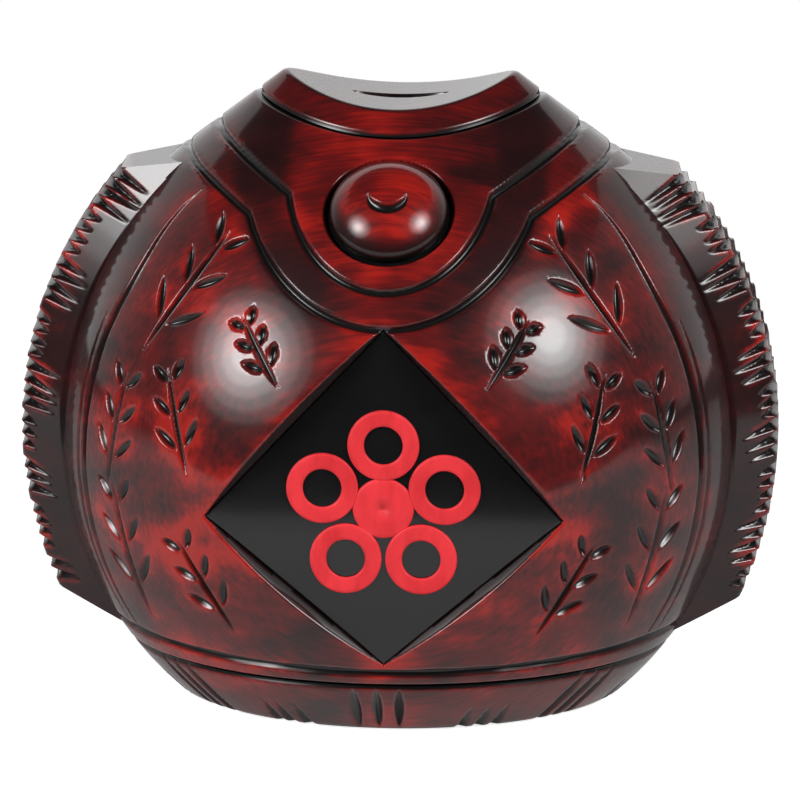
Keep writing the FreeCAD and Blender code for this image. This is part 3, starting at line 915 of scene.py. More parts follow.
@dataclass
class SprigCarver:
    """Leafy sprigs cut with a gouge, as generic ornament, in millimetres and degrees."""

    form: PouchForm
    stem_half_width: float = 1.25
    leaf_half_width: float = 1.55
    depth: float = 1.7
    leaf_pairs: int = 3
    leaf_first: float = -0.30
    leaf_step: float = 0.32
    leaf_share: float = 0.38
    leaf_fall: float = 0.05
    leaf_angle: float = 40.0
    leaf_clearance: float = 0.20
    stem_points: int = 13
    leaf_points: int = 7
    probe_turn: float = 0.01
    probe_rise: float = 0.5

    def spread(self, azimuth: float, z: float, flat: Array) -> Array:
        """Lay flat points on the form round a place.

        Args:
            azimuth: Angle of the place round the axis.
            z: Height of the place.
            flat: Points across and up, in millimetres.

        Returns:
            Points on the form.
        """
        turns = azimuth + np.array([0.0, self.probe_turn, 0.0])
        here, ahead, above = self.form.place(turns, z + np.array([0.0, 0.0, self.probe_rise]))
        per_turn = np.linalg.norm(ahead - here) / self.probe_turn
        per_rise = np.linalg.norm(above - here) / self.probe_rise
        return self.form.place(azimuth + flat[:, 0] / per_turn, z + flat[:, 1] / per_rise)

    def strokes(self, azimuth: float, z: float, length: float, lean: float) -> list[Stroke]:
        """Cuts of one sprig.

        Args:
            azimuth: Angle of its middle round the axis, in degrees.
            z: Height of its middle.
            length: Length of its stem.
            lean: Angle of the stem from upright, in degrees.

        Returns:
            The stem and the leaves.
        """
        spin = math.radians(lean)
        along = np.array([-math.sin(spin), math.cos(spin)])
        stem = np.linspace(-0.5, 0.5, self.stem_points)[:, None] * length
        lines = [(stem * along, self.stem_half_width)]
        for pair in range(self.leaf_pairs):
            root = along * length * (self.leaf_first + self.leaf_step * pair)
            leaf_length = length * (self.leaf_share - self.leaf_fall * pair)
            for side in Side:
                angle = spin - side.value * math.radians(self.leaf_angle)
                way = np.array([-math.sin(angle), math.cos(angle)])
                reach = np.linspace(self.leaf_clearance, 1.0, self.leaf_points)[:, None] * leaf_length
                lines.append((root + reach * way, self.leaf_half_width))
        turn = math.radians(azimuth)
        return [Stroke(self.spread(turn, z, line), half, self.depth) for line, half in lines]


@dataclass(frozen=True)
class Airbrush:
    """How red and black are laid over the shells, with lengths in millimetres."""

    base: float = 0.43
    blotch_length: float = 58.0
    blotch: float = 0.16
    fine_length: float = 21.0
    fine_shift: float = 40.0
    fine: float = 0.08
    halo: float = 0.24
    halo_blotch: float = 0.22
    halo_fine: float = 0.10
    front_spots: tuple[RedSpot, ...] = (
        RedSpot(-2.0, 156.0, 30.0, 17.0, 0.26), RedSpot(0.0, 186.0, 34.0, 9.0, 0.16),
        RedSpot(-70.0, 85.0, 35.0, 45.0, 0.12))
    panel_red: float = 0.50
    panel_reach: float = 5.0
    panel_blotch: float = 0.25
    strap_centre: float = 176.5
    strap_inner: Pair = (30.0, 36.0)
    strap_outer: Pair = (52.0, 46.0)
    strap_sides: Pair = (8.0, 26.0)
    strap_dark: float = 0.55
    recess_gap: float = 0.25
    recess: float = 0.10
    side_turn: Pair = (0.95, 1.40)
    side_dark: float = 0.40


@dataclass
class PouchShell:
    """One carved half of the pouch, in millimetres and degrees.

    A side run gives a line's depth, lowest and highest point, size and pull. A sprig gives azimuth, height,
    length and lean. A rear line gives height and bow.
    """

    form: PouchForm
    half: Half
    panel: "DiamondPanel"
    button: "FlapButton"
    brush: Airbrush = Airbrush()
    line_half_width: float = 1.5
    line_depth: float = 1.6
    line_halo: float = 0.55
    flap_corner: Pair = (32.0, 169.0)
    flap_low: float = 143.6
    strap_corner: Pair = (44.6, 163.0)
    strap_low: float = 133.2
    strap_slope: float = 29.0
    strap_run: float = 34.0
    strap_points: int = 18
    arc_points: int = 41
    side_share: float = 0.9995
    side_search: float = 4.0
    rear_lines: tuple[Pair, ...] = ((180.5, 580.0), (170.0, 392.0))
    rear_points: int = 61
    ring_height: float = 22.6
    ring_bow: float = 1316.0
    ring_points: int = 91
    ring_scale: float = 1.2
    bow_rounds: int = 6
    side_runs: tuple[tuple[float, float, float, float, float], ...] = (
        (17.4, 27.0, 170.0, 0.9, 0.0), (41.0, 28.0, 167.0, 1.1, 7.0), (36.8, 28.0, 128.0, 0.6, 7.0))
    side_pull: Pair = (135.0, 172.0)
    side_points: int = 60
    side_halo: float = 0.35
    joint_cut: float = 1.4
    joint_halo: float = 0.5
    seat_halo: float = 0.45
    halo_reach: float = 2.6
    seat_softening: Pair = (0.6, 0.7)
    edge_blend: float = 0.8
    edge_margin: float = 0.4
    recess_reach: float = 40.0
    far: float = 60.0
    cavity_loops: int = 7
    front_sprigs: tuple[tuple[float, float, float, float], ...] = (
        (42.0, 139.0, 46.0, 24.0), (22.5, 125.0, 25.0, -36.0), (37.5, 101.0, 34.0, -19.0),
        (53.0, 94.5, 37.0, 9.0), (51.5, 55.5, 44.0, -6.0), (33.0, 49.0, 34.0, -26.0))
    rear_sprigs: tuple[tuple[float, float, float, float], ...] = (
        (42.0, 137.0, 43.0, 21.0), (50.0, 92.0, 44.0, -12.0), (24.0, 85.0, 46.0, 15.0),
        (42.0, 48.0, 40.0, -20.0))
    rear_upright_sprigs: tuple[Pair, ...] = ((132.0, 46.0), (46.0, 44.0))

    def build(self, material: Material) -> Piece:
        """Carve, mesh and dress the half.

        Args:
            material: Lacquer of the shell.

        Returns:
            The piece.
        """
        self.grid = CarvedGrid(self.form, self.half)
        for stroke in self.strokes():
            self.grid.cut(stroke)
        self.cut_joints()
        points = self.grid.base - self.grid.normal * self.grid.depth[..., None]
        if self.half is Half.FRONT:
            points = self.sink_button_seat(points)
            points = self.sink_panel(points)
        sheet = self.close(points)
        name = "carved_front" if self.half is Half.FRONT else "carved_rear"
        node = "front_shell" if self.half is Half.FRONT else "rear_shell"
        return dress(sheet.to_object(name), material, node)

    def strokes(self) -> list[Stroke]:
        """Lines and sprigs of this half.

        Returns:
            All cuts, in any order.
        """
        front = self.half is Half.FRONT
        ring = self.bowed_line(self.ring_height, self.ring_bow, self.ring_points, self.ring_scale)
        lines = [ring, *self.side_lines()]
        if front:
            lines += self.flap_lines()
        else:
            lines += [self.bowed_line(lowest, bow, self.rear_points) for lowest, bow in self.rear_lines]
        carver = SprigCarver(self.form)
        middle = math.degrees(self.half.value)
        for angle, z, length, lean in self.front_sprigs if front else self.rear_sprigs:
            for side in Side:
                lines += carver.strokes(middle + side.value * angle, z, length, side.value * lean)
        for z, length in () if front else self.rear_upright_sprigs:
            lines += carver.strokes(middle, z, length, 0.0)
        return lines

    def line(self, points: Array, scale: float = 1.0) -> Stroke:
        """Plain carved line of even width."""
        return Stroke(points, self.line_half_width * scale, self.line_depth * scale, False, self.line_halo)

    def flap_lines(self) -> list[Stroke]:
        """Lines on both edges of the strap that runs down from the neck and round the flap.

        Returns:
            The flap's edge and the strap's.
        """
        rise = math.tan(math.radians(self.strap_slope))
        out = np.linspace(0.0, self.strap_run, self.strap_points)[1:]
        lines = []
        for (corner_x, corner_z), low in ((self.flap_corner, self.flap_low),
                                          (self.strap_corner, self.strap_low)):
            drop = corner_z - low
            radius = (corner_x ** 2 + drop ** 2) / (2.0 * drop)
            sweep = math.asin(min(corner_x / radius, 1.0))
            sweep = math.pi - sweep if drop > radius else sweep
            turn = np.linspace(-sweep, sweep, self.arc_points)
            arc_z = low + radius - radius * np.cos(turn)
            x = np.concatenate([-(corner_x + out[::-1]), radius * np.sin(turn), corner_x + out])
            z = np.concatenate([corner_z + out[::-1] * rise, arc_z, corner_z + out * rise])
            inside = np.abs(x) < self.form.halves(z)[0] * self.side_share
            lines.append(self.line(self.reach_sides(x[inside], z[inside], rise)))
        return lines

    def reach_sides(self, x: Array, z: Array, rise: float) -> Array:
        """Lay a flap line on the form and carry it on to the very sides of the neck.

        Args:
            x: Places of the line across.
            z: Heights of the line.
            rise: Slope of the line's ends.

        Returns:
            Points of the line, with one more at each end.
        """
        def height(place: Array) -> Array:
            """Height of the line's end at a place across."""
            return z[-1] + (place - x[-1]) * rise

        side = halve(x[-1], x[-1] + self.side_search,
                     lambda place: place > self.form.halves(height(place))[0])
        azimuth = np.concatenate([[-QUARTER], self.form.azimuth_at(x, z), [QUARTER]])
        return self.form.place(azimuth, np.concatenate([[height(side)], z, [height(side)]]))

    def bowed_line(self, lowest: float, bow: float, count: int, scale: float = 1.0) -> Stroke:
        """Line round this half that bows up towards both sides.

        Args:
            lowest: Height of the line at the middle.
            bow: Radius of the bow.
            count: Number of points.
            scale: Size beside a plain line's.

        Returns:
            The line.
        """
        turn = np.linspace(-QUARTER, QUARTER, count) + self.half.value
        z = np.full(turn.shape, lowest)
        for _ in range(self.bow_rounds):
            x = self.form.halves(z)[0] * np.sin(turn)
            z = lowest + bow - np.sqrt(bow ** 2 - x ** 2)
        return self.line(self.form.place(turn, z), scale)

    def side_lines(self) -> list[Stroke]:
        """Lines beside each fin: one at its root and a double one in front of it.

        Returns:
            Pointed lines of both sides.
        """
        lines = []
        for side in Side:
            for depth, low, high, scale, pull in self.side_runs:
                z = np.linspace(low, high, self.side_points)
                y = depth - pull * smooth_step(*self.side_pull, z)
                azimuth = np.arccos(np.clip(y / self.form.halves(z)[1], -1.0, 1.0))
                azimuth = azimuth if self.half is Half.FRONT else math.pi - azimuth
                points = self.form.place(side.value * azimuth, z)
                lines.append(Stroke(points, self.line_half_width * scale, self.line_depth * scale, True,
                                    self.side_halo))
        return lines

    def cut_joints(self) -> None:
        """Cut back the edges that meet the foot and the cap."""
        grid = self.grid
        over_foot = (grid.z - self.form.foot_height) * FOOT_LIP_SLOPE
        under_cap = (grid.top - grid.z) * CAP_LIP_SLOPE
        for away in (over_foot, under_cap):
            grid.depth = np.maximum(grid.depth, joint_lip(away, self.joint_cut))
            grid.near = np.minimum(grid.near, away - self.joint_cut)
            self.warm(away - self.joint_cut, self.joint_halo)

    def warm(self, away: Array, strength: float) -> None:
        """Redden the grid beside an edge, by the distance from it."""
        halo = strength * np.exp(-np.maximum(away, 0.0) / self.halo_reach)
        self.grid.glow = np.maximum(self.grid.glow, halo)

    def sink_button_seat(self, points: Array) -> Array:
        """Sink the round seat of the button.

        Args:
            points: Carved points.

        Returns:
            Points with the seat in them.
        """
        grid = self.grid
        away = self.button.distance_from_axis(grid.base) - self.button.groove_radius
        front = grid.base[..., 1] < 0.0
        outer, inner = self.seat_softening
        sink = np.where(front, smooth_step(outer, -inner, away) * self.button.sink, 0.0)
        grid.near = np.minimum(grid.near, np.where(front, np.abs(away), grid.reach) - inner)
        grid.depth = np.maximum(grid.depth, sink)
        self.warm(away, self.seat_halo)
        return points - grid.normal * sink[..., None]

    def sink_panel(self, points: Array) -> Array:
        """Sink the sloping-walled recess of the panel.

        Args:
            points: Carved points.

        Returns:
            Points with the recess in them.
        """
        grid, far = self.grid, self.far
        across, deep, up = np.moveaxis(points, -1, 0)
        away = self.panel.outside(across, up)
        wall = self.panel.wall_depth(away)
        front = grid.base[..., 1] < 0.0
        gap = np.clip((wall - deep) / self.edge_blend, -far, far)
        softened = np.maximum(deep + self.edge_blend * np.logaddexp(0.0, gap), deep)
        sunk = np.where(away < 0.0, self.panel.floor, softened)
        edge = np.abs(deep - wall) * math.sin(math.radians(self.panel.draft))
        near = np.minimum(edge, np.abs(away)) - self.edge_margin
        self.wall_gap = np.where(front, wall - deep, -far)
        grid.near = np.minimum(grid.near, np.where(front, near, far))
        lowered = points.copy()
        lowered[..., 1] = np.where(front & (away < self.recess_reach), sunk, deep)
        return lowered

    def tone(self) -> tuple[Array, Array]:
        """Airbrushed red and black of the half.

        Returns:
            Red share and groove share by row and column.
        """
        grid, brush = self.grid, self.brush
        x, y, z = np.moveaxis(grid.base, -1, 0)
        blotch = mottle(x, y, z, brush.blotch_length)
        fine = mottle(x + brush.fine_shift, y, z, brush.fine_length)
        tone = brush.base + brush.blotch * blotch + brush.fine * fine
        tone = tone + grid.glow * (brush.halo + brush.halo_blotch * blotch + brush.halo_fine * fine)
        if self.half is Half.FRONT:
            tone = self.front_tone(tone, blotch)
        aside = np.arctan2(np.abs(x) / self.form.half_belly, np.abs(y) / self.form.half_belly_depth)
        tone = tone * (1.0 - brush.side_dark * smooth_step(*brush.side_turn, aside))
        return np.clip(tone, 0.0, 1.0), smooth_step(*GROOVE_FADE, grid.depth)

    def front_tone(self, tone: Array, blotch: Array) -> Array:
        """Red spots, dark strap and dark recess of the front.

        Args:
            tone: Red share so far.
            blotch: Slow uneven pattern.

        Returns:
            Red share by row and column.
        """
        brush = self.brush
        x, z = self.grid.base[..., 0], self.grid.base[..., 2]
        tone = tone + sum(spot.share(x, z) for spot in brush.front_spots)
        over = np.maximum(-self.wall_gap, 0.0) * math.sin(math.radians(self.panel.draft))
        uneven = 1.0 - brush.panel_blotch * (1.0 - blotch)
        tone = tone + brush.panel_red * np.exp(-over / brush.panel_reach) * uneven
        from_flap = np.hypot(x, z - brush.strap_centre)
        strap = smooth_step(*brush.strap_inner, from_flap) * smooth_step(*brush.strap_outer, from_flap)
        tone = tone * (1.0 - brush.strap_dark * strap * smooth_step(*brush.strap_sides, np.abs(x)))
        return np.where(self.wall_gap > brush.recess_gap, brush.recess, tone)

    def close(self, points: Array) -> MeshSheet:
        """Mesh the carved skin and close it with its seam faces and cavity.

        Args:
            points: Carved points by row and column.

        Returns:
            The closed mesh.
        """
        grid, form, loops = self.grid, self.form, self.cavity_loops
        tone, groove = self.tone()
        kept, corners, counts, rim = grid.skin()
        normals = grid.grid_normals(points).reshape(-1, 3)[kept][corners]
        outer = points.reshape(-1, 3)[kept]
        turn = grid.azimuth.ravel()[kept][rim] - self.half.value
        share = ((grid.z - form.foot_height) / (grid.top - form.foot_height)).ravel()[kept][rim]
        shrink = 1.0 - np.arange(loops + 1)[:, None] / loops
        z = form.foot_height + (0.5 + (share - 0.5) * shrink) * (form.cavity_top - form.foot_height)
        inner = form.place(turn * shrink + self.half.value, z, form.wall)
        first, count = len(outer), rim.size
        walls = [rim, *(first + np.arange(loops * count).reshape(loops, count))]
        quads = [np.stack([near, far, np.roll(far, -1), np.roll(near, -1)], axis=1)
                 for near, far in zip(walls, walls[1:])]
        fan = np.stack([walls[-1], np.full(count, first + loops * count), np.roll(walls[-1], -1)], axis=1)
        everything = np.concatenate([outer, inner[:-1].reshape(-1, 3), inner[-1, :1]])
        back_corners = np.concatenate([np.concatenate(quads).ravel(), fan.ravel()])
        back_counts = np.concatenate([np.full(loops * count, 4), np.full(count, 3)])
        plain = np.zeros(len(everything) - first)
        return MeshSheet(
            everything,
            np.concatenate([corners, back_corners]),
            np.concatenate([counts, back_counts]),
            np.concatenate([tone.ravel()[kept], plain]),
            np.concatenate([groove.ravel()[kept], plain]),
            np.concatenate([normals, np.zeros((len(back_corners), 3))]))


@dataclass
class DiamondPanel:
    """Kite-shaped black panel let into the front, in millimetres and degrees."""

    face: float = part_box("diamond_panel")[0].y / MM - SEAM
    floor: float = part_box("diamond_panel")[1].y / MM - SEAM
    half_width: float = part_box("diamond_panel")[1].x / MM
    low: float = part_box("diamond_panel")[0].z / MM
    high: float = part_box("diamond_panel")[1].z / MM
    side_height: float = 73.0
    draft: float = 25.0
    softening: float = 0.7
    round_share: float = 0.25
    back_softening: float = 0.3
    inner_radius: float = 38.0
    sharp_angle: float = 25.0

    def corner_points(self) -> list[Pair]:
        """Corners across and up, from the top and round by the left."""
        return [(0.0, self.high), (-self.half_width, self.side_height), (0.0, self.low),
                (self.half_width, self.side_height)]

    def outside(self, x: Array, z: Array) -> Array:
        """Distance outside the panel's straight edges, negative inside.

        Args:
            x: Places across.
            z: Heights.

        Returns:
            Distances.
        """
        corners = self.corner_points()
        best = np.full(np.shape(x), -math.inf)
        for (x0, z0), (x1, z1) in zip(corners, corners[1:] + corners[:1]):
            run = math.hypot(x1 - x0, z1 - z0)
            best = np.maximum(best, ((x - x0) * (z1 - z0) - (z - z0) * (x1 - x0)) / run)
        return best

    def wall_depth(self, away: Array) -> Array:
        """Y of the recess's sloping wall at a distance outside the panel."""
        return self.face - np.maximum(away, 0.0) / math.tan(math.radians(self.draft))

    def build(self, material: Material) -> Piece:
        """Make the panel with softened edges.

        Args:
            material: Black lacquer.

        Returns:
            The piece.
        """
        corners = np.array(self.corner_points())
        centre = corners.mean(axis=0)
        back, soft, part = self.back_softening, self.softening, self.round_share * self.softening
        section = ((back, self.floor), (0.0, self.floor - back), (0.0, self.face + soft),
                   (part, self.face + part), (soft, self.face))
        rings = []
        for inset, y in section:
            ring = centre + (corners - centre) * (1.0 - inset / self.inner_radius)
            rings.append(np.insert(ring, 1, y, axis=1))
        faces, counts = ring_stack(np.array(rings), False)
        sides = len(corners)
        first = np.arange(sides)
        last = (len(rings) - 1) * sides + first
        faces = np.concatenate([faces, first[::-1], last])
        counts = np.concatenate([counts, [sides, sides]])
        piece = MeshSheet(np.concatenate(rings), faces, counts).to_object("black_panel", self.sharp_angle)
        return dress(piece, material, "diamond_panel")


@dataclass
class PanelMotif:
    """Blossom of ring petals round a heart, raised on the panel, in millimetres."""

    panel: DiamondPanel
    thickness: float = 1.2
    heart_radius: float = 9.6
    petal_count: int = 5
    petal_orbit: float = 20.0
    petal_radius: float = 11.2
    petal_stroke: float = 5.2
    columns: int = 72
    section_points: int = 13
    side_power: float = 0.55
    crown_power: float = 0.5
    hub_radius: float = 0.02

    def round_section(self, inner: float, outer: float) -> list[Pair]:
        """Softly domed section of a stroke between two radii.

        Args:
            inner: Inner radius, 0 for a full disc.
            outer: Outer radius.

        Returns:
            Radius and height over the panel, from inside out.
        """
        middle = (inner + outer) / 2.0
        half = (outer - inner) / 2.0
        section = []
        for turn in np.linspace(0.0, math.pi, self.section_points):
            across = math.copysign(abs(math.cos(turn)) ** self.side_power, math.cos(turn))
            section.append((middle - half * across, self.thickness * math.sin(turn) ** self.crown_power))
        return section

    def build(self, material: Material) -> Piece:
        """Make the blossom.

        Args:
            material: Vermilion lacquer.

        Returns:
            The piece.
        """
        centre_z = self.panel.side_height + self.rise_over_sides()
        shapes = [self.ring((0.0, centre_z), 0.0, self.heart_radius)]
        for petal in range(self.petal_count):
            turn = 2.0 * math.pi * petal / self.petal_count
            spot = (self.petal_orbit * math.sin(turn), centre_z + self.petal_orbit * math.cos(turn))
            shapes.append(self.ring(spot, self.petal_radius - self.petal_stroke, self.petal_radius))
        points, corners, counts, start = [], [], [], 0
        for ring_points, ring_corners, ring_counts in shapes:
            points.append(ring_points)
            corners.append(ring_corners + start)
            counts.append(ring_counts)
            start += len(ring_points)
        sheet = MeshSheet(np.concatenate(points), np.concatenate(corners), np.concatenate(counts))
        return dress(sheet.to_object("blossom_relief"), material, "panel_motif")

    def rise_over_sides(self) -> float:
        """Height of the widest circle's centre over the panel's side corners.

        Returns:
            The height.
        """
        half = self.panel.half_width
        rise = self.panel.high - self.panel.side_height
        drop = self.panel.side_height - self.panel.low
        upper = math.hypot(half, rise)
        radius = half * (rise + drop) / (upper + math.hypot(half, drop))
        return rise - radius * upper / half

    def ring(self, spot: Pair, inner: float, outer: float) -> tuple[Array, Array, Array]:
        """One ring or disc on the panel.

        Args:
            spot: Its centre across and up.
            inner: Inner radius.
            outer: Outer radius.

        Returns:
            Points, corners and corner counts.
        """
        turn = full_turn(self.columns)
        if inner > 0.0:
            section = self.round_section(inner, outer)
        else:
            outward = self.round_section(-outer, outer)[self.section_points // 2:]
            section = [(max(radius, self.hub_radius), height) for radius, height in outward]
            section.append((self.hub_radius, 0.0))
        rings = []
        for radius, height in section:
            y = np.full(self.columns, self.panel.face - height)
            x, z = spot[0] + radius * np.cos(turn), spot[1] + radius * np.sin(turn)
            rings.append(np.stack([x, y, z], axis=1))
        stack = np.array(rings)
        corners, counts = ring_stack(stack, True)
        return stack.reshape(-1, 3), corners, counts


@dataclass
class FlapButton:
    """Domed button on the flap, with a crescent gouged in it, in millimetres."""

    form: PouchForm
    centre_height: float = 166.0
    radius: float = 18.3
    dome: float = 8.6
    groove: float = 1.8
    sink: float = 2.5
    crescent_radius: float = 6.2
    crescent_rise: float = 0.6
    crescent_half_width: float = 1.75
    crescent_depth: float = 1.5
    crescent_span: float = 1.75
    crescent_full: float = 0.35
    crescent_tip: float = 0.08
    flatness: float = 2.3
    steepness: float = 0.72
    columns: int = 160
    rings: int = 56
    hub_share: float = 0.004
    floor_gap: float = 0.05
    probe: float = 0.01
    tone: float = 0.66
    glow: RedSpot = RedSpot(1.0, -3.0, 11.0, 9.0, 0.30)
    edge_fade: Pair = (13.0, 18.2)
    edge_dark: float = 0.75
    cut_fade: Pair = (0.10, 0.6)
    edge_groove: float = 0.6

    def __post_init__(self) -> None:
        """Work out the button's axis, which stands square on the flap."""
        deep = float(self.form.halves(np.array(self.centre_height))[1])
        above = float(self.form.halves(np.array(self.centre_height + self.probe))[1])
        fall = (deep - above) / self.probe
        self.groove_radius = self.radius + self.groove
        self.middle = np.array([0.0, -deep, self.centre_height])
        self.out = np.array([0.0, -1.0, fall]) / math.hypot(1.0, fall)
        self.up = np.array([0.0, fall, 1.0]) / math.hypot(1.0, fall)

    def distance_from_axis(self, points: Array) -> Array:
        """Distance of points from the button's axis."""
        offset = points - self.middle
        return np.linalg.norm(offset - (offset @ self.out)[..., None] * self.out, axis=-1)

    def height(self, x: Array, up: Array) -> tuple[Array, Array]:
        """Height of the dome over its edge, with the gouge in it.

        Args:
            x: Places across the button.
            up: Places up the button.

        Returns:
            Heights, and the share of the gouge.
        """
        share = np.minimum(np.hypot(x, up) / self.radius, 1.0)
        crown = self.dome * (1.0 - share ** self.flatness) ** self.steepness
        turn = np.abs(np.arctan2(x, self.crescent_rise - up))
        away = np.abs(np.hypot(x, up - self.crescent_rise) - self.crescent_radius)
        swell = smooth_step(self.crescent_span, self.crescent_full * self.crescent_span, turn)
        half = self.crescent_half_width * np.maximum(swell, self.crescent_tip)
        bowl = np.clip(1.0 - (away / half) ** 2, 0.0, 1.0) * np.sqrt(swell)
        return crown - self.crescent_depth * bowl, bowl

    def build(self, material: Material) -> Piece:
        """Make the button.

        Args:
            material: Lacquer.

        Returns:
            The piece.
        """
        turn = full_turn(self.columns)
        spread = np.linspace(self.hub_share, 1.0, self.rings)[:, None] * self.radius
        x, up = spread * np.sin(turn), spread * np.cos(turn)
        lift, cut = self.height(x, up)
        top = self.middle + up[..., None] * self.up + lift[..., None] * self.out
        top[..., 0] += x
        down = self.out * (self.sink - self.floor_gap)
        waist = top[-1] - down
        hub = np.broadcast_to(self.middle - down, waist.shape)
        stack = np.concatenate([top, waist[None], hub[None]])
        corners, counts = ring_stack(stack, False)
        corners = corners.reshape(-1, 4)[:, ::-1].ravel()
        tone = self.tone + self.glow.share(x, up)
        tone = tone * (1.0 - self.edge_dark * smooth_step(*self.edge_fade, np.hypot(x, up)))
        groove = smooth_step(*self.cut_fade, cut)
        groove[-2:] = np.maximum(groove[-2:], self.edge_groove)
        under = np.ones((2, self.columns))
        tone, groove = np.concatenate([tone, 0.0 * under]), np.concatenate([groove, under])
        sheet = MeshSheet(stack.reshape(-1, 3), corners, counts, tone.ravel(), groove.ravel())
        return dress(sheet.to_object("domed_button"), material, "flap_button")


@dataclass
class NeckCap:
    """Saddle-topped cap with the coin slot, in millimetres.

    A step over the saddle gives its share of the way from rim to slot, its drop and its groove share.
    """

    form: PouchForm
    columns: int = 384
    half_slot: float = 15.0
    half_slot_width: float = 2.8
    half_tenon: float = 25.0
    half_tenon_width: float = 10.0
    tenon_bottom: float = 164.7
    softening: float = 0.7
    joint_cut: float = 1.4
    lip_inward: float = 0.72
    lip_down: float = 0.5
    wall_break: float = 0.35
    wall_rings: tuple[int, int] = (8, 10)
    wall_tone: float = 0.40
    front_red: float = 0.38
    front_reach: float = 26.0
    saddle_tone: float = 0.34
    blotch: float = 0.10
    wall_blotch: float = 40.0
    saddle_blotch: float = 34.0
    rim_steps: tuple[Triple, ...] = ((0.012, 0.28, 0.0), (0.04, 0.0, 0.0))
    saddle_span: tuple[float, float, int] = (0.08, 0.96, 22)
    slot_steps: tuple[Triple, ...] = ((0.985, 0.0, 0.8), (1.0, 0.25, 0.8))
    inside_groove: float = 0.6
    sharp_angle: float = 50.0

    def build(self, material: Material) -> Piece:
        """Make the cap.

        Args:
            material: Lacquer.

        Returns:
            The piece.
        """
        turn = full_turn(self.columns)
        slot, tenon = (np.stack([wide * np.sin(turn), -deep * np.cos(turn)], axis=1) for wide, deep in (
            (self.half_slot, self.half_slot_width), (self.half_tenon, self.half_tenon_width)))
        edge = self.form.edge_height(turn, self.form.saddle)
        loft = RingLoft(self.columns)
        self.add_wall(loft, turn, edge)
        self.add_saddle(loft, self.form.place(turn, edge)[:, :2], slot)
        bottom = np.full((self.columns, 1), self.tenon_bottom)
        for flat, z in ((slot, bottom), (tenon, bottom), (tenon, self.form.seat(tenon[:, :1]))):
            loft.add(np.concatenate([flat, z], axis=1), 0.0, self.inside_groove)
        piece = loft.sheet().to_object("saddle_cap", self.sharp_angle)
        return dress(piece, material, "neck_cap")

    def add_wall(self, loft: RingLoft, turn: Array, edge: Array) -> None:
        """Add the sloping outside of the cap, from its seat up.

        Args:
            loft: Rings of the cap.
            turn: Angles of the columns.
            edge: Heights of the saddle's edge.
        """
        seat = self.form.edge_height(turn, self.form.seat)
        low_rings, high_rings = self.wall_rings
        low = np.linspace(0.0, self.wall_break, low_rings)
        for share in (*low, *np.linspace(self.wall_break, 1.0, high_rings)[1:]):
            z = seat + (edge - self.softening - seat) * share
            lip = joint_lip((z - seat) * CAP_LIP_SLOPE, self.joint_cut)
            ring = self.form.place(turn, z)
            push = inward_way(ring) * self.lip_inward - np.array([0.0, 0.0, self.lip_down])
            front = self.front_red * np.exp(-(ring[:, 0] / self.front_reach) ** 2)
            tone = self.wall_tone + front + self.blotch * mottle(*ring.T, self.wall_blotch)
            loft.add(ring + push * lip[:, None], tone, smooth_step(*GROOVE_FADE, lip))

    def add_saddle(self, loft: RingLoft, rim: Array, slot: Array) -> None:
        """Add the saddle, from the cap's edge in to the coin slot.

        Args:
            loft: Rings of the cap.
            rim: Edge of the cap, across and deep.
            slot: Edge of the slot, across and deep.
        """
        middle = [(share, 0.0, 0.0) for share in np.linspace(*self.saddle_span)]
        for share, drop, groove in (*self.rim_steps, *middle, *self.slot_steps):
            flat = rim * (1.0 - share) + slot * share
            z = self.form.saddle(flat[:, 0]) - drop
            tone = self.saddle_tone + self.blotch * mottle(*flat.T, z, self.saddle_blotch)
            loft.add(np.concatenate([flat, z[:, None]], axis=1), tone, groove)


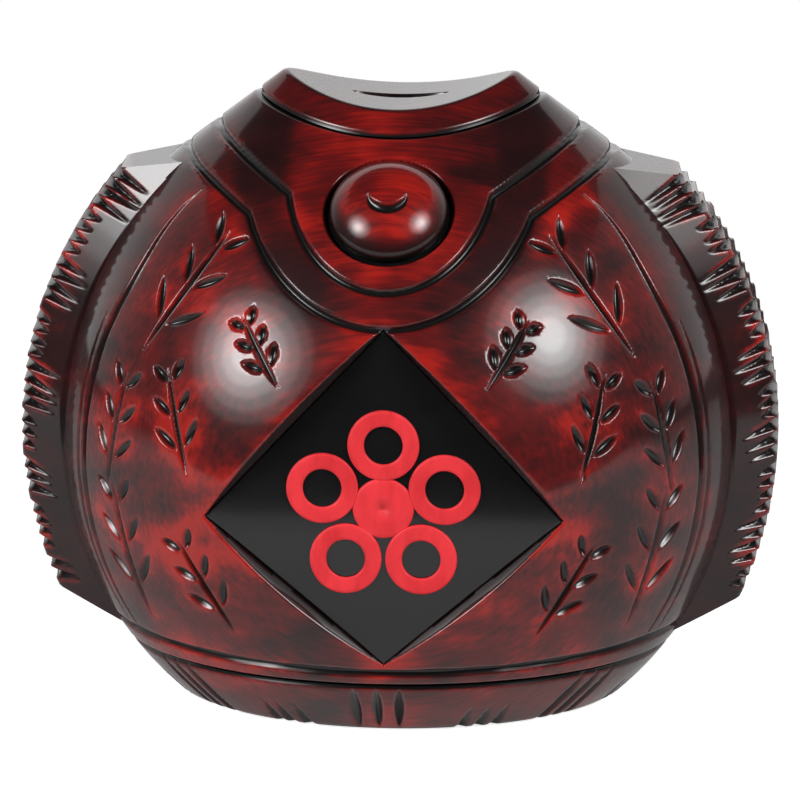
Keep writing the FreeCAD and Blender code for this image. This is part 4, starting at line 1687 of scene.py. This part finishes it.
@dataclass
class NotchedFin:
    """Fin down one side, its edge broken by groups of gouge cuts, in millimetres.

    A pair of a cut's sizes gives the ends of a random draw, and a pair of a fade its start and end.
    """

    form: PouchForm
    side: Side
    radius: float = 125.5
    root_radius: float = 113.5
    inner_radii: Pair = (104.0, 109.0)
    face_radius: float = 112.0
    face_points: int = 30
    edge_points: int = 26
    centre_x: float = -4.5
    centre_z: float = 84.5
    half_root: float = 17.0
    half_edge: float = 11.0
    root_swell: float = 0.6
    top_height: float = 171.5
    top_slope: float = 9.0
    foot_height: float = 23.6
    foot_slope: float = 25.0
    columns: int = 400
    edge_softening: float = 0.9
    left_seed: int = 17
    right_seed: int = 29
    group_sizes: tuple[int, int] = (3, 5)
    group_gap: Pair = (0.5, 4.0)
    cut_pitch: Pair = (3.5, 4.5)
    first_cut: float = 2.0
    last_angle: float = 0.02
    long_cut: float = 8.5
    long_cut_rise: float = 4.5
    short_cut: float = 5.5
    cut_spread: Pair = (0.85, 1.15)
    cut_half_width: Pair = (1.75, 2.2)
    cut_depth: Pair = (1.9, 2.7)
    cut_fall: float = math.radians(25.0)
    cut_slant: Pair = (-0.55, 0.65)
    slant_spread: float = 0.12
    edge_reach: float = 9.0
    tip_width: float = 0.35
    taper_power: float = 0.7
    edge_depth: float = 1.25
    face_depth: float = 0.8
    rounding: float = 4.0
    plain_edge: float = 5.0
    tone: float = 0.20
    blotch: float = 0.14
    blotch_length: float = 36.0
    ridge_red: float = 0.48
    ridge_blotch: float = 0.26
    ridge_shifts: tuple[int, ...] = (-5, -4, -3, 3, 4, 5)
    ridge_fade: Pair = (0.2, 1.4)
    cut_fade: Pair = (0.5, 0.0)
    groove_fade: Pair = (0.35, 1.3)
    sharp_angle: float = 42.0

    def __post_init__(self) -> None:
        """Start the fin's own random draws, the same each time."""
        self.random = np.random.default_rng(self.left_seed if self.side is Side.LEFT else self.right_seed)

    def angle_range(self, radius: Array) -> tuple[Array, Array]:
        """Angles at which the fin's top and bottom facets end it.

        Args:
            radius: Radii from the fin's centre.

        Returns:
            Lowest and highest angles.
        """
        tilt = math.radians(self.top_slope)
        lift = math.radians(self.foot_slope)
        top = self.top_height - self.centre_z + (self.form.half_shoulder - self.centre_x) * math.tan(tilt)
        high = np.arcsin(np.clip(top * math.cos(tilt) / radius, -1.0, 1.0)) - tilt
        foot_x = float(self.form.halves(np.array(self.foot_height))[0])
        foot = self.foot_height - self.centre_z - (foot_x - self.centre_x) * math.tan(lift)
        low = lift + np.arcsin(np.clip(foot * math.cos(lift) / radius, -1.0, 1.0))
        return low, high

    def section(self) -> tuple[Array, Array, Array]:
        """Points round the fin's section.

        Returns:
            Radii, places front to back, and which points are on the outer edge.
        """
        outer = np.linspace(self.face_radius, self.radius - self.edge_softening, self.face_points)
        face = np.concatenate([self.inner_radii, outer])
        along = (face - self.root_radius) / (self.radius - self.root_radius)
        half = self.half_root + (self.half_edge - self.half_root) * along
        half = np.minimum(half, self.half_root + self.root_swell)
        flat = self.half_edge - self.edge_softening
        radius = np.concatenate([face, np.full(self.edge_points, self.radius), face[::-1]])
        y = np.concatenate([-half, np.linspace(-flat, flat, self.edge_points), half[::-1]])
        return radius, y, radius == self.radius

    def cuts(self) -> list[tuple[float, float, float, float, float, float]]:
        """Gouge cuts in irregular groups, from the top down.

        Returns:
            Angle, side of the fin, length, half width, depth and slant of each cut.
        """
        low, high = (float(v) for v in self.angle_range(np.array(self.radius)))
        draw = self.random.uniform
        last = low + self.last_angle
        found = []
        for face in (-1.0, 1.0):
            angle = high - self.first_cut / self.radius
            long_group = True
            while angle > last:
                for _ in range(int(self.random.integers(*self.group_sizes))):
                    upper = (angle - low) / (high - low)
                    length = self.long_cut + self.long_cut_rise * upper if long_group else self.short_cut
                    length = length * draw(*self.cut_spread)
                    half = draw(*self.cut_half_width)
                    depth = draw(*self.cut_depth)
                    slant = float(np.clip(math.tan(angle - self.cut_fall), *self.cut_slant))
                    slant = slant + draw(-self.slant_spread, self.slant_spread)
                    found.append((angle, face, length, half, depth, slant))
                    angle -= draw(*self.cut_pitch) / self.radius
                    if angle < last:
                        break
                angle -= draw(*self.group_gap) / self.radius
                long_group = not long_group
        return found

    def build(self, material: Material) -> Piece:
        """Make the fin.

        Args:
            material: Lacquer.

        Returns:
            The piece.
        """
        radius, y, on_edge = self.section()
        low, high = self.angle_range(radius)
        angle = low + (high - low) * np.linspace(0.0, 1.0, self.columns + 1)[:, None]
        inward = self.radius - radius
        cut = np.zeros(angle.shape)
        for place, face, length, half, depth, slant in self.cuts():
            same = np.sign(y) == face
            over = np.maximum(self.half_edge - face * y, 0.0) / self.edge_reach
            reach = np.where(on_edge, over, np.where(same, inward / length, 1.0))
            taper = np.clip(1.0 - reach, 0.0, 1.0)
            away = np.abs((angle - place) * self.radius - slant * inward * same)
            width = half * (self.tip_width + (1.0 - self.tip_width) * taper)
            bowl = np.clip(1.0 - away / width, 0.0, 1.0) * taper ** self.taper_power
            cut = np.maximum(cut, depth * bowl)
        near_edge = np.clip(1.0 - inward / self.rounding, 0.0, 1.0)
        to_side = np.clip(np.abs(y) / self.plain_edge - 1.0, 0.0, 1.0)
        radius = radius - self.edge_depth * cut * near_edge
        deep = y - np.sign(y) * cut * np.where(on_edge, to_side, 1.0) * self.face_depth
        x = self.side.value * (self.centre_x + radius * np.cos(angle))
        points = np.stack([x, deep, self.centre_z + radius * np.sin(angle)], axis=-1)
        return self.finish(points, cut, material)

    def finish(self, points: Array, cut: Array, material: Material) -> Piece:
        """Close, colour and dress the fin.

        Args:
            points: Points by column and place round the section.
            cut: Depth of the cuts there.
            material: Lacquer.

        Returns:
            The piece.
        """
        places = points.shape[1]
        corners, counts = ring_stack(points, False)
        first = np.arange(places)
        last = (points.shape[0] - 1) * places + first
        ends = (first[::-1], last)
        if self.side is Side.RIGHT:
            corners = corners.reshape(-1, 4)[:, ::-1].ravel()
            ends = (first, last[::-1])
        corners = np.concatenate([corners, *ends])
        counts = np.concatenate([counts, [places, places]])
        blotch = mottle(*np.moveaxis(points, -1, 0), self.blotch_length)
        beside = np.max([np.roll(cut, shift, axis=0) for shift in self.ridge_shifts], axis=0)
        ridge = smooth_step(*self.ridge_fade, beside) * smooth_step(*self.cut_fade, cut)
        tone = self.tone + self.blotch * blotch + ridge * (self.ridge_red + self.ridge_blotch * blotch)
        groove = smooth_step(*self.groove_fade, cut)
        tone = np.clip(tone, 0.0, 1.0)
        sheet = MeshSheet(points.reshape(-1, 3), corners, counts, tone.ravel(), groove.ravel())
        name = "notched_fin_left" if self.side is Side.LEFT else "notched_fin_right"
        node = "left_fin" if self.side is Side.LEFT else "right_fin"
        return dress(sheet.to_object(name, self.sharp_angle), material, node)


@dataclass
class FootRing:
    """Foot band with chisel cuts round it, open below for the board, in millimetres and degrees.

    A tool gives half width, depth and slant of its cuts.
    """

    form: PouchForm
    columns: int = 1080
    rim: float = 12.0
    ledge: float = 6.0
    rebate_top: float = 9.0
    spigot: float = 8.0
    joint_cut: float = 1.8
    lip_inward: float = 0.8
    base_softening: float = 1.2
    gap: float = 0.1
    base_heights: tuple[float, ...] = (0.0, 0.35, 1.2)
    wall_ends: Pair = (2.0, 1.6)
    wall_rings: int = 22
    lip_drops: tuple[float, ...] = (1.1, 0.8, 0.5, 0.25, 0.0)
    girth_share: float = 0.7
    long_cuts: tuple[float, ...] = (-6.8, -1.9, 3.0, 175.0, 180.0, 185.0)
    slant_cuts: tuple[float, ...] = (
        -53.0, -48.5, -44.0, 41.0, 45.5, 50.0, 128.0, 132.5, 137.0, 223.0, 227.5, 232.0)
    edge_cuts: tuple[float, ...] = (
        -28.6, -25.2, -20.5, 18.7, 23.2, 27.5, -70.0, -66.0, 66.0, 70.0, 74.0,
        108.0, 112.0, 150.0, 154.0, 158.0, 204.0, 208.0, 248.0, 252.0)
    long_tool: Triple = (1.7, 2.2, 0.0)
    slant_tool: Triple = (1.6, 1.9, 0.30)
    edge_tool: Triple = (2.0, 2.4, 0.12)
    lens_low: float = 0.06
    lens_length: float = 0.88
    wedge_length: float = 0.52
    full_fade: float = 0.4
    cut_power: float = 0.8
    thinnest: float = 0.05
    tone: float = 0.56
    blotch: float = 0.16
    blotch_length: float = 50.0
    side_dark: float = 0.24
    cut_fade: Pair = (0.15, 0.8)
    inside_tone: float = 0.12
    inside_groove: float = 0.3
    sharp_angle: float = 48.0

    def cut_depth(self, azimuth: Array, z: float, around: float) -> Array:
        """Depth of the chisel cuts.

        Args:
            azimuth: Angles round the axis, in degrees.
            z: Height.
            around: Millimetres of rim per degree.

        Returns:
            Depths.
        """
        rise = min(z / self.form.foot_height, 1.0)
        along = np.clip((rise - self.lens_low) / self.lens_length, 0.0, 1.0)
        lens = math.sqrt(abs(math.sin(math.pi * along)))
        wedge = max(1.0 - rise / self.wedge_length, 0.0) ** self.cut_power
        full = math.sqrt(min((1.0 - rise) / self.full_fade, 1.0))
        depth = np.zeros(azimuth.shape)
        for cuts, (half, deep, slant), taper in ((self.long_cuts, self.long_tool, lens),
                                                 (self.slant_cuts, self.slant_tool, full),
                                                 (self.edge_cuts, self.edge_tool, wedge)):
            for centre in cuts:
                lean = math.copysign(slant, -math.sin(math.radians(centre)))
                off = (azimuth - centre + 180.0) % 360.0 - 180.0
                away = np.abs(off * around + lean * z)
                bowl = np.clip(1.0 - away / (half * max(taper, self.thinnest)), 0.0, 1.0)
                depth = np.maximum(depth, deep * taper * bowl ** self.cut_power)
        return depth

    def build(self, material: Material) -> Piece:
        """Make the foot.

        Args:
            material: Lacquer.

        Returns:
            The piece.
        """
        turn = full_turn(self.columns)
        loft = RingLoft(self.columns)
        self.add_wall(loft, turn)
        top = self.form.foot_height
        hollow = np.array(self.form.halves(top)) - self.form.wall
        opening, joined = hollow - self.rim, hollow - self.gap
        rebate = opening + self.ledge
        for (wide, deep), z in ((joined, top), (joined, top + self.spigot), (opening, top + self.spigot),
                                (opening, self.rebate_top), (rebate, self.rebate_top), (rebate, 0.0)):
            ring = np.stack([wide * np.sin(turn), -deep * np.cos(turn), np.full(self.columns, z)], axis=1)
            loft.add(ring, self.inside_tone, self.inside_groove)
        piece = loft.sheet().to_object("foot_band", self.sharp_angle)
        return dress(piece, material, "foot_ring")

    def add_wall(self, loft: RingLoft, turn: Array) -> None:
        """Add the carved outside of the foot, from the table up.

        Args:
            loft: Rings of the foot.
            turn: Angles of the columns.
        """
        form, top = self.form, self.form.foot_height
        around = math.radians(1.0) * (form.half_belly + form.half_belly_depth) / 2.0 * self.girth_share
        above, below = self.wall_ends
        wall = np.linspace(above, top - below, self.wall_rings)
        for z in (*self.base_heights, *wall, *(top - np.array(self.lip_drops))):
            lip = joint_lip((top - z) * FOOT_LIP_SLOPE, self.joint_cut)
            round_in = self.base_softening * max(0.0, 1.0 - z / self.base_softening) ** 2
            cut = self.cut_depth(np.degrees(turn), z, around)
            ring = form.place(turn, np.full(self.columns, z), lip * self.lip_inward + round_in)
            uneven = self.blotch * mottle(*ring.T, self.blotch_length)
            tone = self.tone + uneven - self.side_dark * np.sin(turn) ** 2
            groove = np.maximum(smooth_step(*self.cut_fade, cut), smooth_step(*GROOVE_FADE, lip))
            loft.add(ring + inward_way(ring) * cut[:, None], tone, groove)


@dataclass
class Underside:
    """Board, stopper and dowels, which keep their solid shapes and get their finishes."""

    nodes: tuple[tuple[str, Slot], ...] = (
        ("base_board", Slot.WOOD), ("seam_dowels", Slot.WOOD), ("stopper", Slot.RUBBER))

    def dress_nodes(self, finishes: dict[Slot, Material]) -> None:
        """Give each node its finish.

        Args:
            finishes: Materials by slot.
        """
        for node, slot in self.nodes:
            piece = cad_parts[node]
            piece.data.materials.clear()
            piece.data.materials.append(finishes[slot])
            log.info("%s: finished as %s", node, slot.value)


@dataclass
class Studio:
    """Pale floor, white surround, soft boxes and the camera, in metres and degrees.

    A box gives name, azimuth and elevation, and each of its layers size and watts.
    """

    camera_distance: float = 2.2
    camera_azimuth: float = 3.869
    camera_elevation: float = 13.274
    aim_height: float = 0.092165
    aim_right: float = -0.000192
    focal_pixels: float = 6864.97
    image_pixels: float = 800.0
    sensor: float = 36.0
    floor_ends: Pair = (-0.33, 0.60)
    floor_half: float = 1.5
    floor_clearance: float = 0.0002
    surround_radius: float = 3.6
    surround_height: float = 3.6
    wall_panes: int = 60
    wall_ends: Pair = (70.0, 290.0)
    wall_fade: float = 85.0
    wall_seen: float = 1.0
    wall_mirrored: float = 1.0
    wall_diffuse: float = 0.8
    floor_seen: float = 0.80
    floor_mirrored: float = 0.10
    floor_diffuse: float = 0.82
    matt: float = 0.9
    box_distance: float = 1.15
    layer_gap: float = 0.01
    boxes: tuple[tuple[str, float, float], ...] = (("left_box", -47.0, 25.0), ("right_box", 52.0, 31.0))
    box_layers: tuple[Pair, ...] = (
        (0.80, 1.9), (0.64, 2.2), (0.48, 2.0), (0.34, 1.45), (0.20, 0.65))
    world_level: float = 0.03

    def direction(self, azimuth: float, elevation: float) -> Vector:
        """Unit direction from the object, 0 at the front and positive to the right."""
        turn, lift = math.radians(azimuth), math.radians(elevation)
        return Vector((math.sin(turn) * math.cos(lift), -math.cos(turn) * math.cos(lift), math.sin(lift)))

    def build(self) -> None:
        """Set the whole studio."""
        self.make_floor()
        self.make_surround()
        self.make_lamps()
        self.make_camera()
        bpy.context.scene.view_settings.view_transform = "Standard"

    def glow_material(self, name: str, camera_level: float, glossy_level: float, diffuse: float,
                      fading: bool = False) -> Material:
        """White surface that shows a set level to the eye and to reflections.

        Args:
            name: Name of the material.
            camera_level: Emission seen directly.
            glossy_level: Emission seen in reflections.
            diffuse: Reflectance under the lamps.
            fading: Whether the reflections follow the sheet's own tone.

        Returns:
            The material.
        """
        paint = NodePainter(name)
        rays = paint.add("ShaderNodeLightPath")
        seen = paint.math("MULTIPLY", rays.outputs["Is Camera Ray"], camera_level)
        mirrored = paint.math("MAXIMUM", rays.outputs["Is Glossy Ray"], rays.outputs["Is Transmission Ray"])
        mirrored = paint.math("MULTIPLY", mirrored, paint.value("tone")) if fading else mirrored
        level = paint.math("ADD", seen, paint.math("MULTIPLY", mirrored, glossy_level))
        paint.settle(Roughness=self.matt, Specular_IOR_Level=0.0)
        paint.cover("Base Color", (diffuse, diffuse, diffuse))
        paint.cover("Emission Color", (1.0, 1.0, 1.0))
        paint.cover("Emission Strength", level)
        return paint.material

    def make_floor(self) -> None:
        """Pale floor that keeps the box's shadow."""
        half = self.floor_half
        z = -self.floor_clearance
        near, far = self.floor_ends
        points = np.array([[-half, near, z], [half, near, z], [half, far, z], [-half, far, z]]) / MM
        floor = MeshSheet(points, np.arange(4), np.array([4])).to_object("floor")
        floor.data.materials.append(self.glow_material(
            "pale_floor", self.floor_seen, self.floor_mirrored, self.floor_diffuse))

    def make_surround(self) -> None:
        """White wall behind the box, dimmer towards its two ends."""
        first, last = self.wall_ends
        degrees = np.linspace(first, last, self.wall_panes + 1)
        turn = np.radians(degrees)
        low = np.stack([np.sin(turn), -np.cos(turn), 0.0 * turn], axis=1) * self.surround_radius
        high = low + np.array([0.0, 0.0, self.surround_height])
        index = np.arange(self.wall_panes)
        above = index + self.wall_panes + 1
        quads = np.stack([index, index + 1, above + 1, above], axis=1)
        inward = np.minimum(degrees - first, last - degrees)
        level = np.tile(smooth_step(0.0, self.wall_fade, inward), 2)
        points = np.concatenate([low, high]) / MM
        wall = MeshSheet(points, quads.ravel(), np.full(self.wall_panes, 4), level).to_object("surround")
        wall.data.materials.append(self.glow_material(
            "white_surround", self.wall_seen, self.wall_mirrored, self.wall_diffuse, True))

    def make_lamps(self) -> None:
        """Two soft boxes in front, brighter in their middles, and a dim room."""
        aim = Vector((0.0, 0.0, self.aim_height))
        for name, azimuth, elevation in self.boxes:
            way = self.direction(azimuth, elevation)
            for layer, (size, power) in enumerate(self.box_layers):
                distance = self.box_distance - layer * self.layer_gap
                self.area_lamp(f"{name}_{layer}", aim, way, distance, size, power)
        world = bpy.data.worlds.new("room")
        world.use_nodes = True
        sky = world.node_tree.nodes["Background"]
        sky.inputs["Color"].default_value = (1.0, 1.0, 1.0, 1.0)
        rays = world.node_tree.nodes.new("ShaderNodeLightPath")
        level = world.node_tree.nodes.new("ShaderNodeMapRange")
        level.inputs["To Min"].default_value = self.world_level
        level.inputs["To Max"].default_value = 1.0
        world.node_tree.links.new(rays.outputs["Is Camera Ray"], level.inputs["Value"])
        world.node_tree.links.new(level.outputs["Result"], sky.inputs["Strength"])
        bpy.context.scene.world = world

    def area_lamp(self, name: str, aim: Vector, way: Vector, distance: float, size: float,
                  power: float) -> None:
        """Round soft lamp that looks at the box.

        Args:
            name: Name of the lamp.
            aim: Point that it looks at.
            way: Direction from that point to the lamp.
            distance: How far away it stands.
            size: Width of the lamp.
            power: Power in watts.
        """
        data = bpy.data.lights.new(name, "AREA")
        data.shape = "DISK"
        data.size = size
        data.energy = power
        lamp = bpy.data.objects.new(name, data)
        lamp.location = aim + way * distance
        lamp.rotation_euler = way.to_track_quat("Z", "Y").to_euler()
        bpy.context.scene.collection.objects.link(lamp)

    def make_camera(self) -> None:
        """Camera at the photograph's angle."""
        data = bpy.data.cameras.new("camera")
        data.sensor_width = self.sensor
        data.lens = self.focal_pixels * self.sensor / self.image_pixels
        back = self.direction(self.camera_azimuth, self.camera_elevation)
        turn = math.radians(self.camera_azimuth)
        right = Vector((math.cos(turn), math.sin(turn), 0.0))
        camera = bpy.data.objects.new("camera", data)
        aim = Vector((0.0, SEAM * MM, self.aim_height)) + right * self.aim_right
        camera.location = aim + back * self.camera_distance
        camera.rotation_euler = back.to_track_quat("Z", "Y").to_euler()
        bpy.context.scene.collection.objects.link(camera)
        bpy.context.scene.camera = camera


def main() -> None:
    """Build every piece in order and report it."""
    logging.basicConfig(level=logging.INFO, format="%(name)s: %(message)s")
    lacquer = RubbedLacquer().make()
    finishes = {Slot.WOOD: BareWood().make(), Slot.RUBBER: STOPPER_RUBBER.make()}
    form = PouchForm()
    panel = DiamondPanel()
    button = FlapButton(form)
    for half in Half:
        PouchShell(form, half, panel, button).build(lacquer)
    for side in Side:
        NotchedFin(form, side).build(lacquer)
    NeckCap(form).build(lacquer)
    button.build(lacquer)
    panel.build(PANEL_LACQUER.make())
    PanelMotif(panel).build(MOTIF_LACQUER.make())
    FootRing(form).build(lacquer)
    Underside().dress_nodes(finishes)
    Studio().build()


if __name__ == "__main__":
    main()
